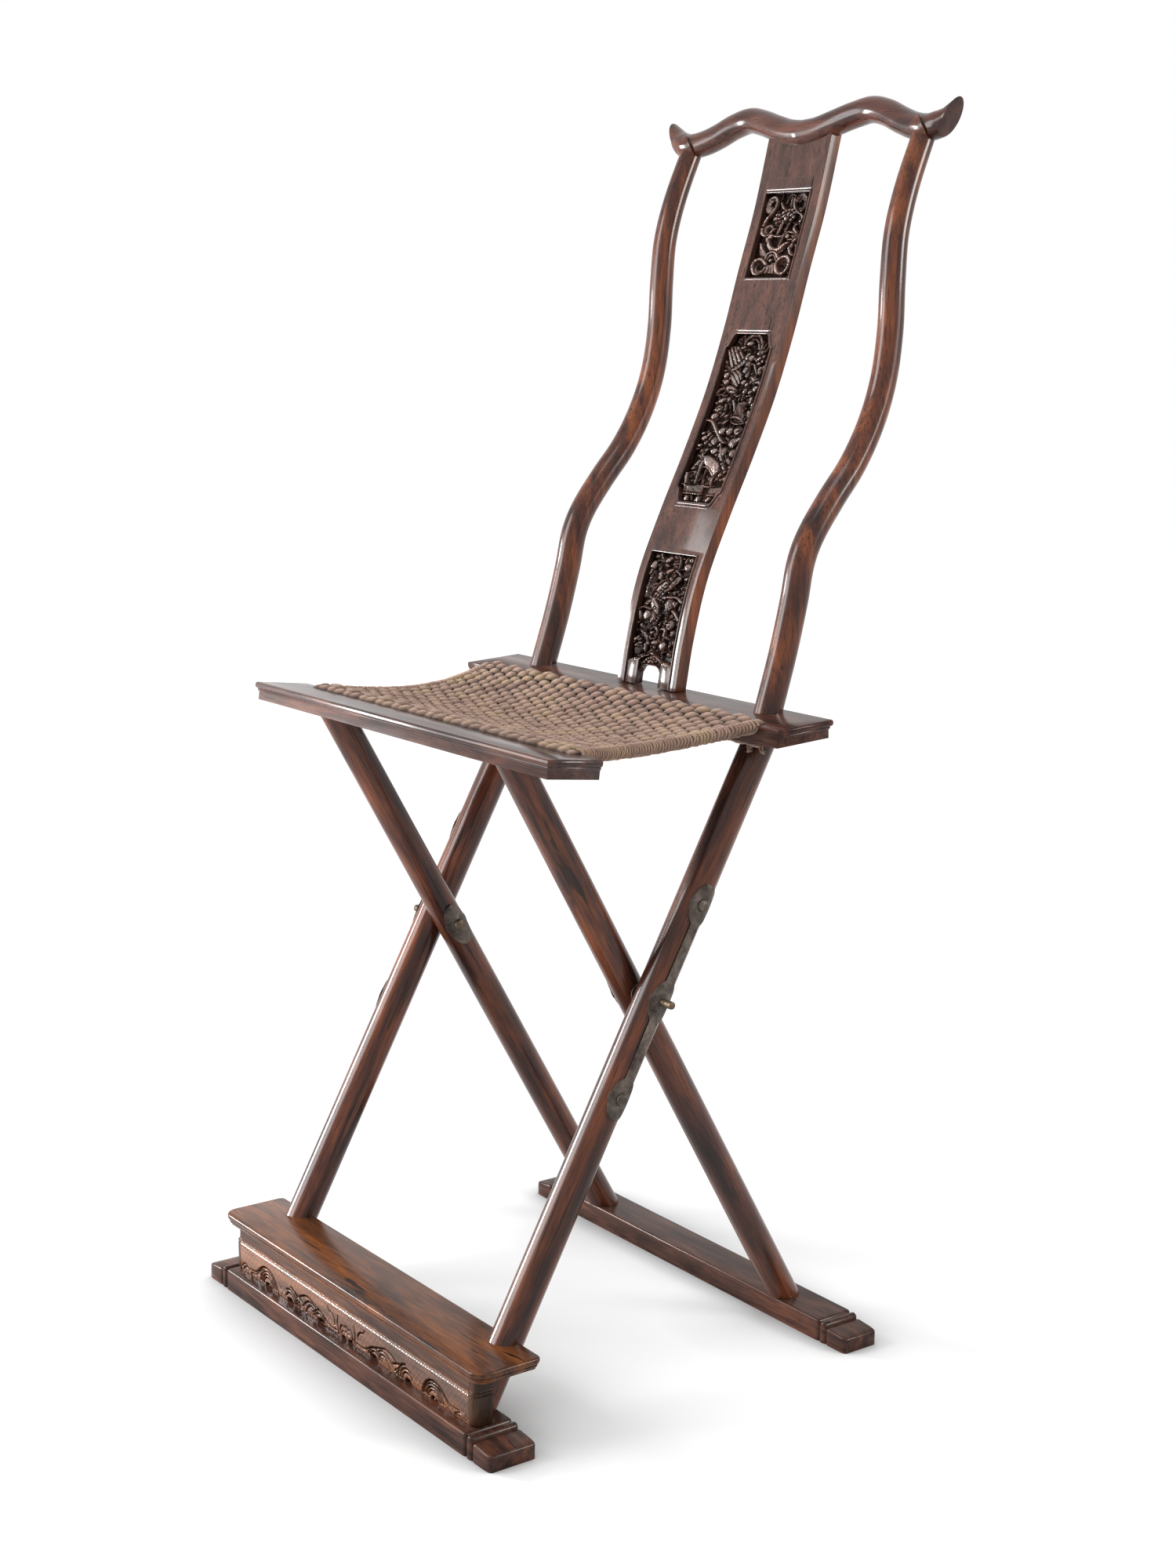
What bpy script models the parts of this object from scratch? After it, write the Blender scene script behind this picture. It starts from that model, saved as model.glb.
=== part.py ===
"""Folding yoke-back chair with a footrest.

Two crossed leg frames turn on a pair of iron pins. The outer frame runs from the rear
seat rail down to the front base rail and carries the back and the footrest. The inner
frame runs from the front seat rail down to the rear base rail. A corded seat is laced
between the two seat rails and stops the frames from opening any further.

X runs across the chair, Y from front to back, Z up. Lengths are in metres.
"""
import math

import bmesh
import bpy
from mathutils import Matrix, Vector

# Fits that every joint shares
FIT_GAP = 0.0003
CUT_OVERRUN = 0.004

# The two leg frames and the pivot between them
PIVOT_HEIGHT = 0.343
INNER_LEG_LEAN = math.radians(30.7)
OUTER_LEG_LEAN = math.radians(27.9)
INNER_LEG_RADIUS = 0.0138
OUTER_LEG_RADIUS = 0.0145
OUTER_LEG_SPACING = 0.336
LEG_TENON_RADIUS = 0.0080
LEG_HEAD_TENON = 0.0065
LEG_FOOT_TENON = 0.0120

# Iron work at the pivot
WASHER_THICK = 0.0013
WASHER_RADIUS = 0.0090
PIN_RADIUS = 0.0034
PIN_OUTER_REACH = 0.0145
PIN_HEAD_RADIUS = 0.0052
PIN_HEAD_HEIGHT = 0.0030
PLATE_THICK = 0.0014
STRAP_LENGTH = 0.212
STRAP_BAR_HALF_WIDTH = 0.0048
STRAP_LOBE_HALF_WIDTH = 0.0105
STRAP_LOBE_HALF_LENGTH = 0.0190
STRAP_NAIL_REACH = 0.0880
INNER_PLATE_HALF_LENGTH = 0.0220
INNER_PLATE_HALF_WIDTH = 0.0125
NAIL_HEAD_RADIUS = 0.0056
NAIL_HEAD_HEIGHT = 0.0034
NAIL_SHANK_RADIUS = 0.0013
NAIL_SHANK_LENGTH = 0.0080

# Seat rails
SEAT_RAIL_LENGTH = 0.458
SEAT_RAIL_THICK = 0.0160
FRONT_RAIL_WIDTH = 0.054
REAR_RAIL_WIDTH = 0.061
FRONT_RAIL_HEIGHT = 0.5687
REAR_RAIL_HEIGHT = 0.5758
REAR_RAIL_FORWARD = 0.0100
FRONT_RAIL_TILT = math.radians(-6.0)
REAR_RAIL_TILT = math.radians(4.0)
NOSING_REACH = 0.0030
NOSING_DROP = 0.0062
COVE_DROP = 0.0022
REBATE_WIDTH = 0.0100
REBATE_DEPTH = 0.0050
REBATE_END_MARGIN = 0.0280

# Seat weave and its lacing
WEAVE_THICK = 0.0060
WEAVE_SAG = 0.0150
WEAVE_EDGE_SAG = 0.0085
WEAVE_WAIST = 0.0200
LACING_RADIUS = 0.0021
LACING_HOLE_RADIUS = 0.0021
LACING_HOLE_COUNT = 20
LACING_EDGE_OFFSET = 0.0056

# Base rails
BASE_RAIL_LENGTH = 0.472
BASE_END_LENGTH = 0.0350
BASE_RAIL_HEIGHT = 0.0200
FRONT_BASE_WIDTH = 0.047
REAR_BASE_WIDTH = 0.040
FRONT_BASE_FORWARD = 0.0070
BASE_GROOVE_DEPTH = 0.0030
BASE_GROOVE_WIDTH = 0.0030
BASE_BEAD_WIDTH = 0.0050
BASE_FOOT_HEIGHT = 0.0155
BASE_EDGE_ROUND = 0.0025

# Footrest
FOOTREST_HEIGHT = 0.073
FOOTREST_OVERHANG = 0.0120
FOOTREST_DEPTH = 0.0650
FOOTREST_BOARD_THICK = 0.0105
FOOTREST_FRONT_RADIUS = 0.0220
FOOTREST_BACK_RADIUS = 0.0080
FOOTREST_NOSING = 0.0035
FOOTREST_SETBACK = 0.0028
WAIST_HEIGHT = 0.0115
WAIST_INSET = 0.0105
APRON_INSET = 0.0065
APRON_SWELL = 0.0020
APRON_THICK = 0.0090
RETURN_STEP = 0.0008
RETURN_LENGTH = 0.0088
RETURN_DEPTH = 0.0190
RETURN_CORNER_RADIUS = 0.0070

# Back posts
POST_FOOT_SPACING = 0.329
POST_HEAD_SPACING = 0.314
POST_FOOT_RADIUS = 0.0124
POST_HEAD_RADIUS = 0.0103
POST_TENON_RADIUS = 0.0075
POST_TENON_DEPTH = 0.0065
POST_RISE = 0.4940
POST_RAKE = 0.1640
POST_HEAD_TENON_RADIUS = 0.0055
POST_HEAD_TENON_RISE = 0.0060
POST_CURVE_SHARES = (
    (0.00, 0.000), (0.10, 0.092), (0.19, 0.160), (0.255, 0.200), (0.30, 0.262),
    (0.36, 0.395), (0.42, 0.545), (0.49, 0.668), (0.565, 0.749), (0.65, 0.787),
    (0.74, 0.793), (0.82, 0.810), (0.90, 0.876), (1.00, 1.000),
)

# Crest rail
CREST_LENGTH = 0.368
CREST_RADIUS = 0.0118
CREST_END_RADIUS = 0.0121
CREST_WAVE = 0.0200
CREST_BOW = 0.0085
CREST_END_SLANT = math.radians(22.0)
CREST_WAVE_SHARES = (
    (0.00, 0.18), (0.103, 0.28), (0.206, 0.51), (0.33, 0.82), (0.444, 1.00),
    (0.557, 0.80), (0.671, 0.40), (0.774, 0.11), (0.873, 0.00), (0.94, 0.12),
    (1.00, 0.36),
)
CREST_BOW_SHARES = (
    (0.00, 0.00), (0.206, 0.35), (0.444, 1.00), (0.671, 0.60), (0.87, 0.10),
    (1.00, 0.45),
)

# Splat and its three carved panels
SPLAT_FOOT_WIDTH = 0.0850
SPLAT_HEAD_WIDTH = 0.0850
SPLAT_THICK = 0.0125
SPLAT_FOOT_STEP = 0.0037
SPLAT_HEAD_LAP = 0.0028
SPLAT_TENON_THICK = 0.0050
SPLAT_TENON_DEPTH = 0.0060
SPLAT_TENON_MARGIN = 0.0180
SPLAT_CURVE_SHARES = (
    (0.00, 0.000), (0.09, 0.046), (0.20, 0.133), (0.31, 0.276), (0.42, 0.436),
    (0.53, 0.583), (0.645, 0.704), (0.755, 0.801), (0.865, 0.903), (1.00, 1.000),
)
PANEL_THICK = 0.0075
PANEL_RECESS = 0.0012
TOP_PANEL_HALF_WIDTH = 0.0300
TOP_PANEL_HEIGHT = 0.0770
UPPER_CROSS_SHARE = 0.3391
MIDDLE_PANEL_HALF_WIDTH = 0.0310
MIDDLE_PANEL_CHAMFER = 0.0075
MIDDLE_PANEL_HEIGHT = 0.1520
MIDDLE_PANEL_CHAMFER_RISE = 0.0120
LOWER_CROSS_SHARE = 0.3055
BOTTOM_PANEL_HALF_WIDTH = 0.0320
BOTTOM_PANEL_HEIGHT = 0.1195
ARCH_HALF_WIDTH = 0.0160
ARCH_RISE = 0.0180

# How finely round and curved pieces are divided
ROUND_SIDES = 20
IRON_SIDES = 12
CORNER_STEPS = 4
POST_STEPS = 26
CREST_STEPS = 44
SPLAT_STEPS = 24
WEAVE_STEPS = 10
STRAP_STEPS = 34
PLATE_FACETS = 8

X_AXIS = Vector((1.0, 0.0, 0.0))
Y_AXIS = Vector((0.0, 1.0, 0.0))
Z_AXIS = Vector((0.0, 0.0, 1.0))

OUTER_HALF = OUTER_LEG_SPACING / 2
INNER_HALF = OUTER_HALF - OUTER_LEG_RADIUS - WASHER_THICK - 2 * FIT_GAP - INNER_LEG_RADIUS


def clear_scene():
    for item in list(bpy.data.objects):
        bpy.data.objects.remove(item, do_unlink=True)


def at(x, y, height):
    """A place given by its height above the floor, measured from the pivot."""
    return Vector((x, y, height - PIVOT_HEIGHT))


def leg_setback(height, lean):
    """How far a leg's axis lies from the pivot, front to back, at a height."""
    return (height - PIVOT_HEIGHT) * math.tan(lean)


def make_empty(name, parent=None):
    empty = bpy.data.objects.new(name, None)
    bpy.context.collection.objects.link(empty)
    empty.parent = parent
    return empty


def finish_material(name, colour, roughness, metallic=0.0):
    material = bpy.data.materials.new(name)
    material.use_nodes = True
    shader = material.node_tree.nodes["Principled BSDF"]
    shader.inputs["Base Color"].default_value = (*colour, 1.0)
    shader.inputs["Roughness"].default_value = roughness
    shader.inputs["Metallic"].default_value = metallic
    return material


def wood(name):
    return finish_material(name + "_wood", (0.090, 0.032, 0.018), 0.28)


def dark_wood(name):
    return finish_material(name + "_wood", (0.055, 0.030, 0.024), 0.34)


def iron(name):
    return finish_material(name + "_iron", (0.070, 0.060, 0.054), 0.48, 0.85)


def cord(name):
    return finish_material(name + "_cord", (0.230, 0.155, 0.090), 0.86)


def loft(name, rings, parent, material=None, smooth=True):
    """A closed solid through rings of equally many points, capped at both ends."""
    mesh = bpy.data.meshes.new(name)
    shape = bmesh.new()
    loops = [[shape.verts.new(point) for point in ring] for ring in rings]
    for lower, upper in zip(loops, loops[1:]):
        count = len(lower)
        for k in range(count):
            j = (k + 1) % count
            shape.faces.new((lower[k], lower[j], upper[j], upper[k]))
    shape.faces.new(loops[0])
    shape.faces.new(loops[-1])
    bmesh.ops.recalc_face_normals(shape, faces=shape.faces)
    shape.to_mesh(mesh)
    shape.free()
    if smooth:
        mesh.shade_smooth()
        mesh.set_sharp_from_angle(angle=math.radians(35.0))
    piece = bpy.data.objects.new(name, mesh)
    bpy.context.collection.objects.link(piece)
    piece.parent = parent
    if material is not None:
        mesh.materials.append(material)
    return piece


def as_cutter(piece):
    piece.hide_render = True
    piece.display_type = "WIRE"
    return piece


def boolean(piece, other, operation="DIFFERENCE"):
    step = piece.modifiers.new(operation.lower() + "_" + other.name, "BOOLEAN")
    step.operation = operation
    step.solver = "EXACT"
    step.object = as_cutter(other)


def side_name(stem, side):
    return stem + ("_right" if side > 0 else "_left")


def circle(centre, radius, across, up, sides):
    """Points of a round ring in the plane of two unit directions."""
    turn = 2 * math.pi / sides
    return [
        centre + radius * (math.cos(k * turn) * across + math.sin(k * turn) * up)
        for k in range(sides)
    ]


def slanted_ring(origin, axis, radius, plane_point, plane_normal, sides):
    """The ring that a plane cuts from a cylinder along an axis."""
    across = X_AXIS
    up = axis.cross(across).normalized()
    points = []
    for point in circle(origin, radius, across, up, sides):
        reach = (plane_point - point).dot(plane_normal) / axis.dot(plane_normal)
        points.append(point + reach * axis)
    return points


def turned(name, origin, axis, profile, parent, material=None, sides=IRON_SIDES):
    """A solid of revolution: the profile holds stations along the axis and radii."""
    across = axis.orthogonal().normalized()
    up = axis.cross(across).normalized()
    rings = [circle(origin + axis * along, radius, across, up, sides) for along, radius in profile]
    return loft(name, rings, parent, material)


def shares_value(shares, place):
    """Smooth value of a table of shares, with slopes taken from its neighbours."""
    last = len(shares) - 1
    k = 0
    while k < last - 1 and place > shares[k + 1][0]:
        k += 1

    def slope(index):
        low = max(index - 1, 0)
        high = min(index + 1, last)
        return (shares[high][1] - shares[low][1]) / (shares[high][0] - shares[low][0])

    start, start_value = shares[k]
    end, end_value = shares[k + 1]
    span = end - start
    t = (place - start) / span
    return (
        (2 * t**3 - 3 * t**2 + 1) * start_value
        + (t**3 - 2 * t**2 + t) * span * slope(k)
        + (3 * t**2 - 2 * t**3) * end_value
        + (t**3 - t**2) * span * slope(k + 1)
    )


# Leg axes, as unit directions that point up from the pivot
INNER_AXIS = Vector((0.0, -math.sin(INNER_LEG_LEAN), math.cos(INNER_LEG_LEAN)))
OUTER_AXIS = Vector((0.0, math.sin(OUTER_LEG_LEAN), math.cos(OUTER_LEG_LEAN)))


class Rail:
    """Where a seat rail lies: the middle of its top face and its tilt."""

    def __init__(self, height, setback, width, tilt):
        self.centre = at(0.0, setback, height)
        self.width = width
        self.turn = Matrix.Rotation(tilt, 4, "X")
        self.tilt = tilt
        self.normal = (self.turn @ Z_AXIS).normalized()

    def place(self, x, across, depth):
        """A place on the rail: across it from its middle, and below its top face."""
        return self.centre + self.turn @ Vector((x, across, -depth))


def front_rail_frame():
    middle = FRONT_RAIL_HEIGHT - SEAT_RAIL_THICK / 2
    return Rail(FRONT_RAIL_HEIGHT, -leg_setback(middle, INNER_LEG_LEAN), FRONT_RAIL_WIDTH, FRONT_RAIL_TILT)


def rear_rail_frame():
    middle = REAR_RAIL_HEIGHT - SEAT_RAIL_THICK / 2
    setback = leg_setback(middle, OUTER_LEG_LEAN) - REAR_RAIL_FORWARD
    return Rail(REAR_RAIL_HEIGHT, setback, REAR_RAIL_WIDTH, REAR_RAIL_TILT)


FRONT_RAIL = front_rail_frame()
REAR_RAIL = rear_rail_frame()


def seat_rail(name, rail, inner_sign, parent):
    """A moulded seat rail. Its inner edge, towards the seat, has no moulding."""
    half_length = SEAT_RAIL_LENGTH / 2
    inner = rail.width / 2
    nose_round = NOSING_REACH / 2
    layers = (
        (SEAT_RAIL_THICK, NOSING_REACH),
        (NOSING_DROP + COVE_DROP, NOSING_REACH),
        (NOSING_DROP, NOSING_REACH * 0.75),
        (NOSING_DROP * 0.8, nose_round / 3),
        (NOSING_DROP * 0.5, 0.0),
        (NOSING_DROP * 0.2, nose_round / 3),
        (0.0, nose_round),
    )
    rings = []
    for depth, inset in layers:
        outer = -(inner - inset)
        end = half_length - inset
        corners = ((-end, outer), (end, outer), (end, inner), (-end, inner))
        rings.append([Vector((x, y * inner_sign, -depth)) for x, y in corners])
    piece = loft(name, rings, parent, wood(name), smooth=False)
    piece.location = rail.centre
    piece.rotation_euler = (rail.tilt, 0.0, 0.0)

    rebate_half = half_length - REBATE_END_MARGIN
    rebate_rings = [
        [
            rail.place(x, (inner + CUT_OVERRUN) * inner_sign, -CUT_OVERRUN),
            rail.place(x, (inner - REBATE_WIDTH) * inner_sign, -CUT_OVERRUN),
            rail.place(x, (inner - REBATE_WIDTH) * inner_sign, REBATE_DEPTH),
            rail.place(x, (inner + CUT_OVERRUN) * inner_sign, REBATE_DEPTH),
        ]
        for x in (-rebate_half, rebate_half)
    ]
    boolean(piece, loft(name + "_rebate", rebate_rings, parent, smooth=False))
    return piece


def lacing_holes(rail, inner_sign, leg_half, leg_radius, parent):
    """The row of small holes for the seat cord, left out where a leg stands below."""
    name = "front_lacing_holes" if inner_sign > 0 else "rear_lacing_holes"
    across = (rail.width / 2 - LACING_EDGE_OFFSET) * inner_sign
    run = SEAT_RAIL_LENGTH - 2 * REBATE_END_MARGIN
    pitch = run / LACING_HOLE_COUNT
    mesh = bpy.data.meshes.new(name)
    shape = bmesh.new()
    drill = SEAT_RAIL_THICK + 2 * CUT_OVERRUN
    for k in range(LACING_HOLE_COUNT):
        x = (k - (LACING_HOLE_COUNT - 1) / 2) * pitch
        if abs(abs(x) - leg_half) < leg_radius + LACING_HOLE_RADIUS:
            continue
        middle = rail.place(x, across, SEAT_RAIL_THICK / 2)
        bmesh.ops.create_cone(
            shape, cap_ends=True, segments=6, radius1=LACING_HOLE_RADIUS,
            radius2=LACING_HOLE_RADIUS, depth=drill,
            matrix=Matrix.Translation(middle) @ rail.turn,
        )
    shape.to_mesh(mesh)
    shape.free()
    cutter = bpy.data.objects.new(name, mesh)
    bpy.context.collection.objects.link(cutter)
    cutter.parent = parent
    return cutter


def leg(name, x, axis, radius, head_plane, foot_plane, parent):
    """A round leg with a tenon at each end, its shoulders cut to lie on the rails."""
    origin = Vector((x, 0.0, 0.0))
    head_point, head_normal, head_depth = head_plane
    foot_point, foot_normal, foot_depth = foot_plane
    stations = (
        (LEG_TENON_RADIUS, foot_point - foot_normal * foot_depth, foot_normal),
        (LEG_TENON_RADIUS, foot_point + foot_normal * FIT_GAP, foot_normal),
        (radius, foot_point + foot_normal * FIT_GAP, foot_normal),
        (radius, head_point - head_normal * FIT_GAP, head_normal),
        (LEG_TENON_RADIUS, head_point - head_normal * FIT_GAP, head_normal),
        (LEG_TENON_RADIUS, head_point + head_normal * head_depth, head_normal),
    )
    rings = [
        slanted_ring(origin, axis, size, point, normal, ROUND_SIDES)
        for size, point, normal in stations
    ]
    return loft(name, rings, parent, wood(name))


def tenon_socket(name, x, axis, plane, sense, parent):
    """A cutter for a leg's tenon, a fit gap wider and deeper than the tenon."""
    origin = Vector((x, 0.0, 0.0))
    point, normal, depth = plane
    mouth = point - normal * sense * CUT_OVERRUN
    bottom = point + normal * sense * (depth + FIT_GAP)
    radius = LEG_TENON_RADIUS + FIT_GAP
    rings = [
        slanted_ring(origin, axis, radius, mouth, normal, ROUND_SIDES),
        slanted_ring(origin, axis, radius, bottom, normal, ROUND_SIDES),
    ]
    return loft(name, rings, parent)


def legs(frame, stem, half, axis, radius, rail, base_top, rail_piece, base_piece):
    """A pair of legs, and the sockets for them in their seat rail and base rail."""
    head_plane = (rail.place(0.0, 0.0, SEAT_RAIL_THICK), rail.normal, LEG_HEAD_TENON)
    foot_plane = (base_top, Z_AXIS, LEG_FOOT_TENON)
    made = {}
    for side in (-1, 1):
        name = side_name(stem, side)
        piece = leg(name, side * half, axis, radius, head_plane, foot_plane, frame)
        boolean(rail_piece, tenon_socket(name + "_head_socket", side * half, axis, head_plane, 1, frame))
        boolean(base_piece, tenon_socket(name + "_foot_socket", side * half, axis, foot_plane, -1, frame))
        made[side] = piece
    return made


def base_bar_end():
    """Where a base rail's long bar ends, before the groove, on the +X side."""
    return BASE_RAIL_LENGTH / 2 - BASE_END_LENGTH


def base_rail(name, setback, width, parent):
    """A base rail: a long bar, and at each end a groove, a bead and a lower foot."""
    half_width = width / 2
    bar_end = base_bar_end()
    tip = BASE_RAIL_LENGTH / 2
    bead_start = bar_end + BASE_GROOVE_WIDTH
    bead_end = bead_start + BASE_BEAD_WIDTH
    foot_start = bead_end + BASE_GROOVE_WIDTH
    groove_top = BASE_RAIL_HEIGHT - BASE_GROOVE_DEPTH
    bead_top = BASE_RAIL_HEIGHT - BASE_GROOVE_DEPTH / 3
    foot_end_top = BASE_FOOT_HEIGHT - BASE_EDGE_ROUND
    stations = (
        (bar_end - BASE_EDGE_ROUND, BASE_RAIL_HEIGHT, 0.0),
        (bar_end, groove_top, BASE_GROOVE_DEPTH / 2),
        (bead_start, groove_top, BASE_GROOVE_DEPTH / 2),
        (bead_start + BASE_BEAD_WIDTH / 4, bead_top, 0.0),
        (bead_end - BASE_BEAD_WIDTH / 4, bead_top, 0.0),
        (bead_end, BASE_FOOT_HEIGHT, BASE_GROOVE_DEPTH / 2),
        (foot_start, BASE_FOOT_HEIGHT, BASE_GROOVE_DEPTH / 2),
        (tip - BASE_EDGE_ROUND, foot_end_top + BASE_EDGE_ROUND / 2, BASE_GROOVE_DEPTH / 3),
        (tip, foot_end_top - BASE_EDGE_ROUND, BASE_EDGE_ROUND),
    )
    rings = []
    for side in (-1, 1):
        ordered = reversed(stations) if side < 0 else stations
        for x, top, inset in ordered:
            y = half_width - inset
            edge = y - BASE_EDGE_ROUND / 2
            shoulder = top - BASE_EDGE_ROUND / 2
            outline = ((-y, 0.0), (y, 0.0), (y, shoulder), (edge, top), (-edge, top), (-y, shoulder))
            rings.append([at(side * x, setback + across, rise) for across, rise in outline])
    return loft(name, rings, parent, wood(name), smooth=False)


def rounded_outline(half, front, back, front_radius, back_radius):
    """A board's plan outline with rounded corners, from the front left one round."""
    corners = (
        (-half + front_radius, front + front_radius, front_radius, math.pi),
        (half - front_radius, front + front_radius, front_radius, 1.5 * math.pi),
        (half - back_radius, back - back_radius, back_radius, 0.0),
        (-half + back_radius, back - back_radius, back_radius, 0.5 * math.pi),
    )
    points = []
    for x, y, radius, start in corners:
        for k in range(CORNER_STEPS + 1):
            angle = start + 0.5 * math.pi * k / CORNER_STEPS
            points.append((x + radius * math.cos(angle), y + radius * math.sin(angle)))
    return points


def footrest_front():
    """The front edge of the footrest board, over the front face of its base rail."""
    setback = front_base_setback()
    return setback - FRONT_BASE_WIDTH / 2 + FOOTREST_SETBACK


def front_base_setback():
    middle = BASE_RAIL_HEIGHT / 2
    return leg_setback(middle, OUTER_LEG_LEAN) - FRONT_BASE_FORWARD


def rear_base_setback():
    return -leg_setback(BASE_RAIL_HEIGHT / 2, INNER_LEG_LEAN)


def footrest_board(parent):
    """The tread: rounded corners, a bullnose edge, and notches for the outer legs."""
    front = footrest_front()
    back = front + FOOTREST_DEPTH
    half = base_bar_end() + FOOTREST_OVERHANG
    layers = (
        (FOOTREST_BOARD_THICK, FOOTREST_NOSING),
        (FOOTREST_BOARD_THICK * 0.75, FOOTREST_NOSING / 4),
        (FOOTREST_BOARD_THICK * 0.5, 0.0),
        (FOOTREST_BOARD_THICK * 0.25, FOOTREST_NOSING / 6),
        (0.0, FOOTREST_NOSING / 2),
    )
    rings = []
    for depth, inset in layers:
        outline = rounded_outline(
            half - inset, front + inset, back - inset,
            FOOTREST_FRONT_RADIUS - inset, FOOTREST_BACK_RADIUS - inset,
        )
        rings.append([at(x, y, FOOTREST_HEIGHT - depth) for x, y in outline])
    piece = loft("footrest_board", rings, parent, wood("footrest_board"))
    for side in (-1, 1):
        top = at(0.0, 0.0, FOOTREST_HEIGHT + CUT_OVERRUN)
        below = at(0.0, 0.0, FOOTREST_HEIGHT - FOOTREST_BOARD_THICK - CUT_OVERRUN)
        origin = Vector((side * OUTER_HALF, 0.0, 0.0))
        radius = OUTER_LEG_RADIUS + FIT_GAP
        notch = loft(
            side_name("footrest_notch", side),
            [slanted_ring(origin, OUTER_AXIS, radius, plane, Z_AXIS, ROUND_SIDES) for plane in (below, top)],
            parent,
        )
        boolean(piece, notch)
    return piece


def skirt_layers():
    """Heights and insets of the footrest's recessed waist and swelling apron."""
    top = FOOTREST_HEIGHT - FOOTREST_BOARD_THICK - FIT_GAP
    waist_foot = top - WAIST_HEIGHT
    bottom = BASE_RAIL_HEIGHT + FIT_GAP
    apron = waist_foot - bottom
    return (
        (bottom, APRON_INSET + APRON_SWELL),
        (bottom + apron * 0.35, APRON_INSET + APRON_SWELL / 4),
        (bottom + apron * 0.7, APRON_INSET),
        (waist_foot - APRON_SWELL, APRON_INSET + APRON_SWELL / 4),
        (waist_foot, APRON_INSET + APRON_SWELL),
        (waist_foot, WAIST_INSET),
        (top, WAIST_INSET),
    )


def apron_half():
    """Half the apron's length: its corner returns fill the rest of the base bar."""
    return base_bar_end() - RETURN_STEP - RETURN_LENGTH - FIT_GAP


def footrest_apron(parent):
    """The front board under the tread: a plain waist over a swelling apron."""
    front = footrest_front()
    half = apron_half()
    back = front + APRON_INSET + APRON_THICK
    rings = []
    for height, inset in skirt_layers():
        corners = ((-half, front + inset), (half, front + inset), (half, back), (-half, back))
        rings.append([at(x, y, height) for x, y in corners])
    return loft("footrest_apron", rings, parent, wood("footrest_apron"), smooth=False)


def footrest_return(side, parent):
    """The rounded corner block that closes one end of the apron."""
    name = side_name("footrest_return", side)
    front = footrest_front()
    inner = apron_half() + FIT_GAP
    outer_end = inner + RETURN_LENGTH
    back = front + APRON_INSET + RETURN_DEPTH
    rings = []
    for height, inset in skirt_layers():
        step = inset - APRON_INSET
        radius = RETURN_CORNER_RADIUS
        x_round = outer_end - step - radius
        y_round = front + inset + radius
        outline = [(inner, front + inset)]
        for k in range(CORNER_STEPS + 1):
            angle = 1.5 * math.pi + 0.5 * math.pi * k / CORNER_STEPS
            outline.append((x_round + radius * math.cos(angle), y_round + radius * math.sin(angle)))
        outline += [(outer_end - step, back), (inner, back)]
        rings.append([at(side * x, y, height) for x, y in outline])
    return loft(name, rings, parent, wood(name))


def on_leg(x, axis, radius, along, around, facing):
    """A place on a leg's surface: along it from the pivot, and round it from its side."""
    across = X_AXIS * facing
    fore = axis.cross(X_AXIS).normalized()
    centre = Vector((x, 0.0, 0.0)) + axis * along
    return centre + radius * (math.cos(around) * across + math.sin(around) * fore)


def lobe(distance, half_length, half_width):
    """Half width of a rounded lobe at a distance from its middle."""
    share = abs(distance) / half_length
    if share >= 1.0:
        return 0.0
    return half_width * math.sqrt(1.0 - share**2.4)


def strap_half_width(along):
    """The outline of the strap: a narrow bar with a lobe at its middle and each nail."""
    widest = max(
        lobe(along - centre, STRAP_LOBE_HALF_LENGTH, STRAP_LOBE_HALF_WIDTH)
        for centre in (-STRAP_NAIL_REACH, 0.0, STRAP_NAIL_REACH)
    )
    end_taper = (STRAP_LENGTH / 2 - abs(along)) / STRAP_LOBE_HALF_LENGTH
    bar = STRAP_BAR_HALF_WIDTH * min(1.0, max(end_taper, 0.0) + 0.25)
    return max(widest, bar)


def bent_plate(name, x, axis, radius, half_length, width_at, facing, steps, parent):
    """A thin iron plate bent to the round of a leg, its outline given along the leg."""
    inner_face = radius + FIT_GAP
    outer_face = inner_face + PLATE_THICK
    spread = [2 * k / PLATE_FACETS - 1 for k in range(PLATE_FACETS + 1)]
    rings = []
    for k in range(steps + 1):
        along = -half_length + 2 * half_length * k / steps
        reach = width_at(along) / radius
        lower = [on_leg(x, axis, inner_face, along, s * reach, facing) for s in spread]
        upper = [on_leg(x, axis, outer_face, along, s * reach, facing) for s in reversed(spread)]
        rings.append(lower + upper)
    return loft(name, rings, parent, iron(name))


def strap(side, parent):
    """The long iron strap on the outer face of an outer leg."""
    name = side_name("pivot_strap", side)
    return bent_plate(
        name, side * OUTER_HALF, OUTER_AXIS, OUTER_LEG_RADIUS, STRAP_LENGTH / 2,
        strap_half_width, side, STRAP_STEPS, parent,
    )


def inner_plate(side, parent):
    """The lobed plate under the pin's head, on the inner face of an inner leg."""
    name = side_name("pivot_plate", side)

    def width_at(along):
        return max(lobe(along, INNER_PLATE_HALF_LENGTH, INNER_PLATE_HALF_WIDTH), INNER_PLATE_HALF_WIDTH / 5)

    return bent_plate(
        name, side * INNER_HALF, INNER_AXIS, INNER_LEG_RADIUS, INNER_PLATE_HALF_LENGTH,
        width_at, -side, STRAP_STEPS // 2, parent,
    )


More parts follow.
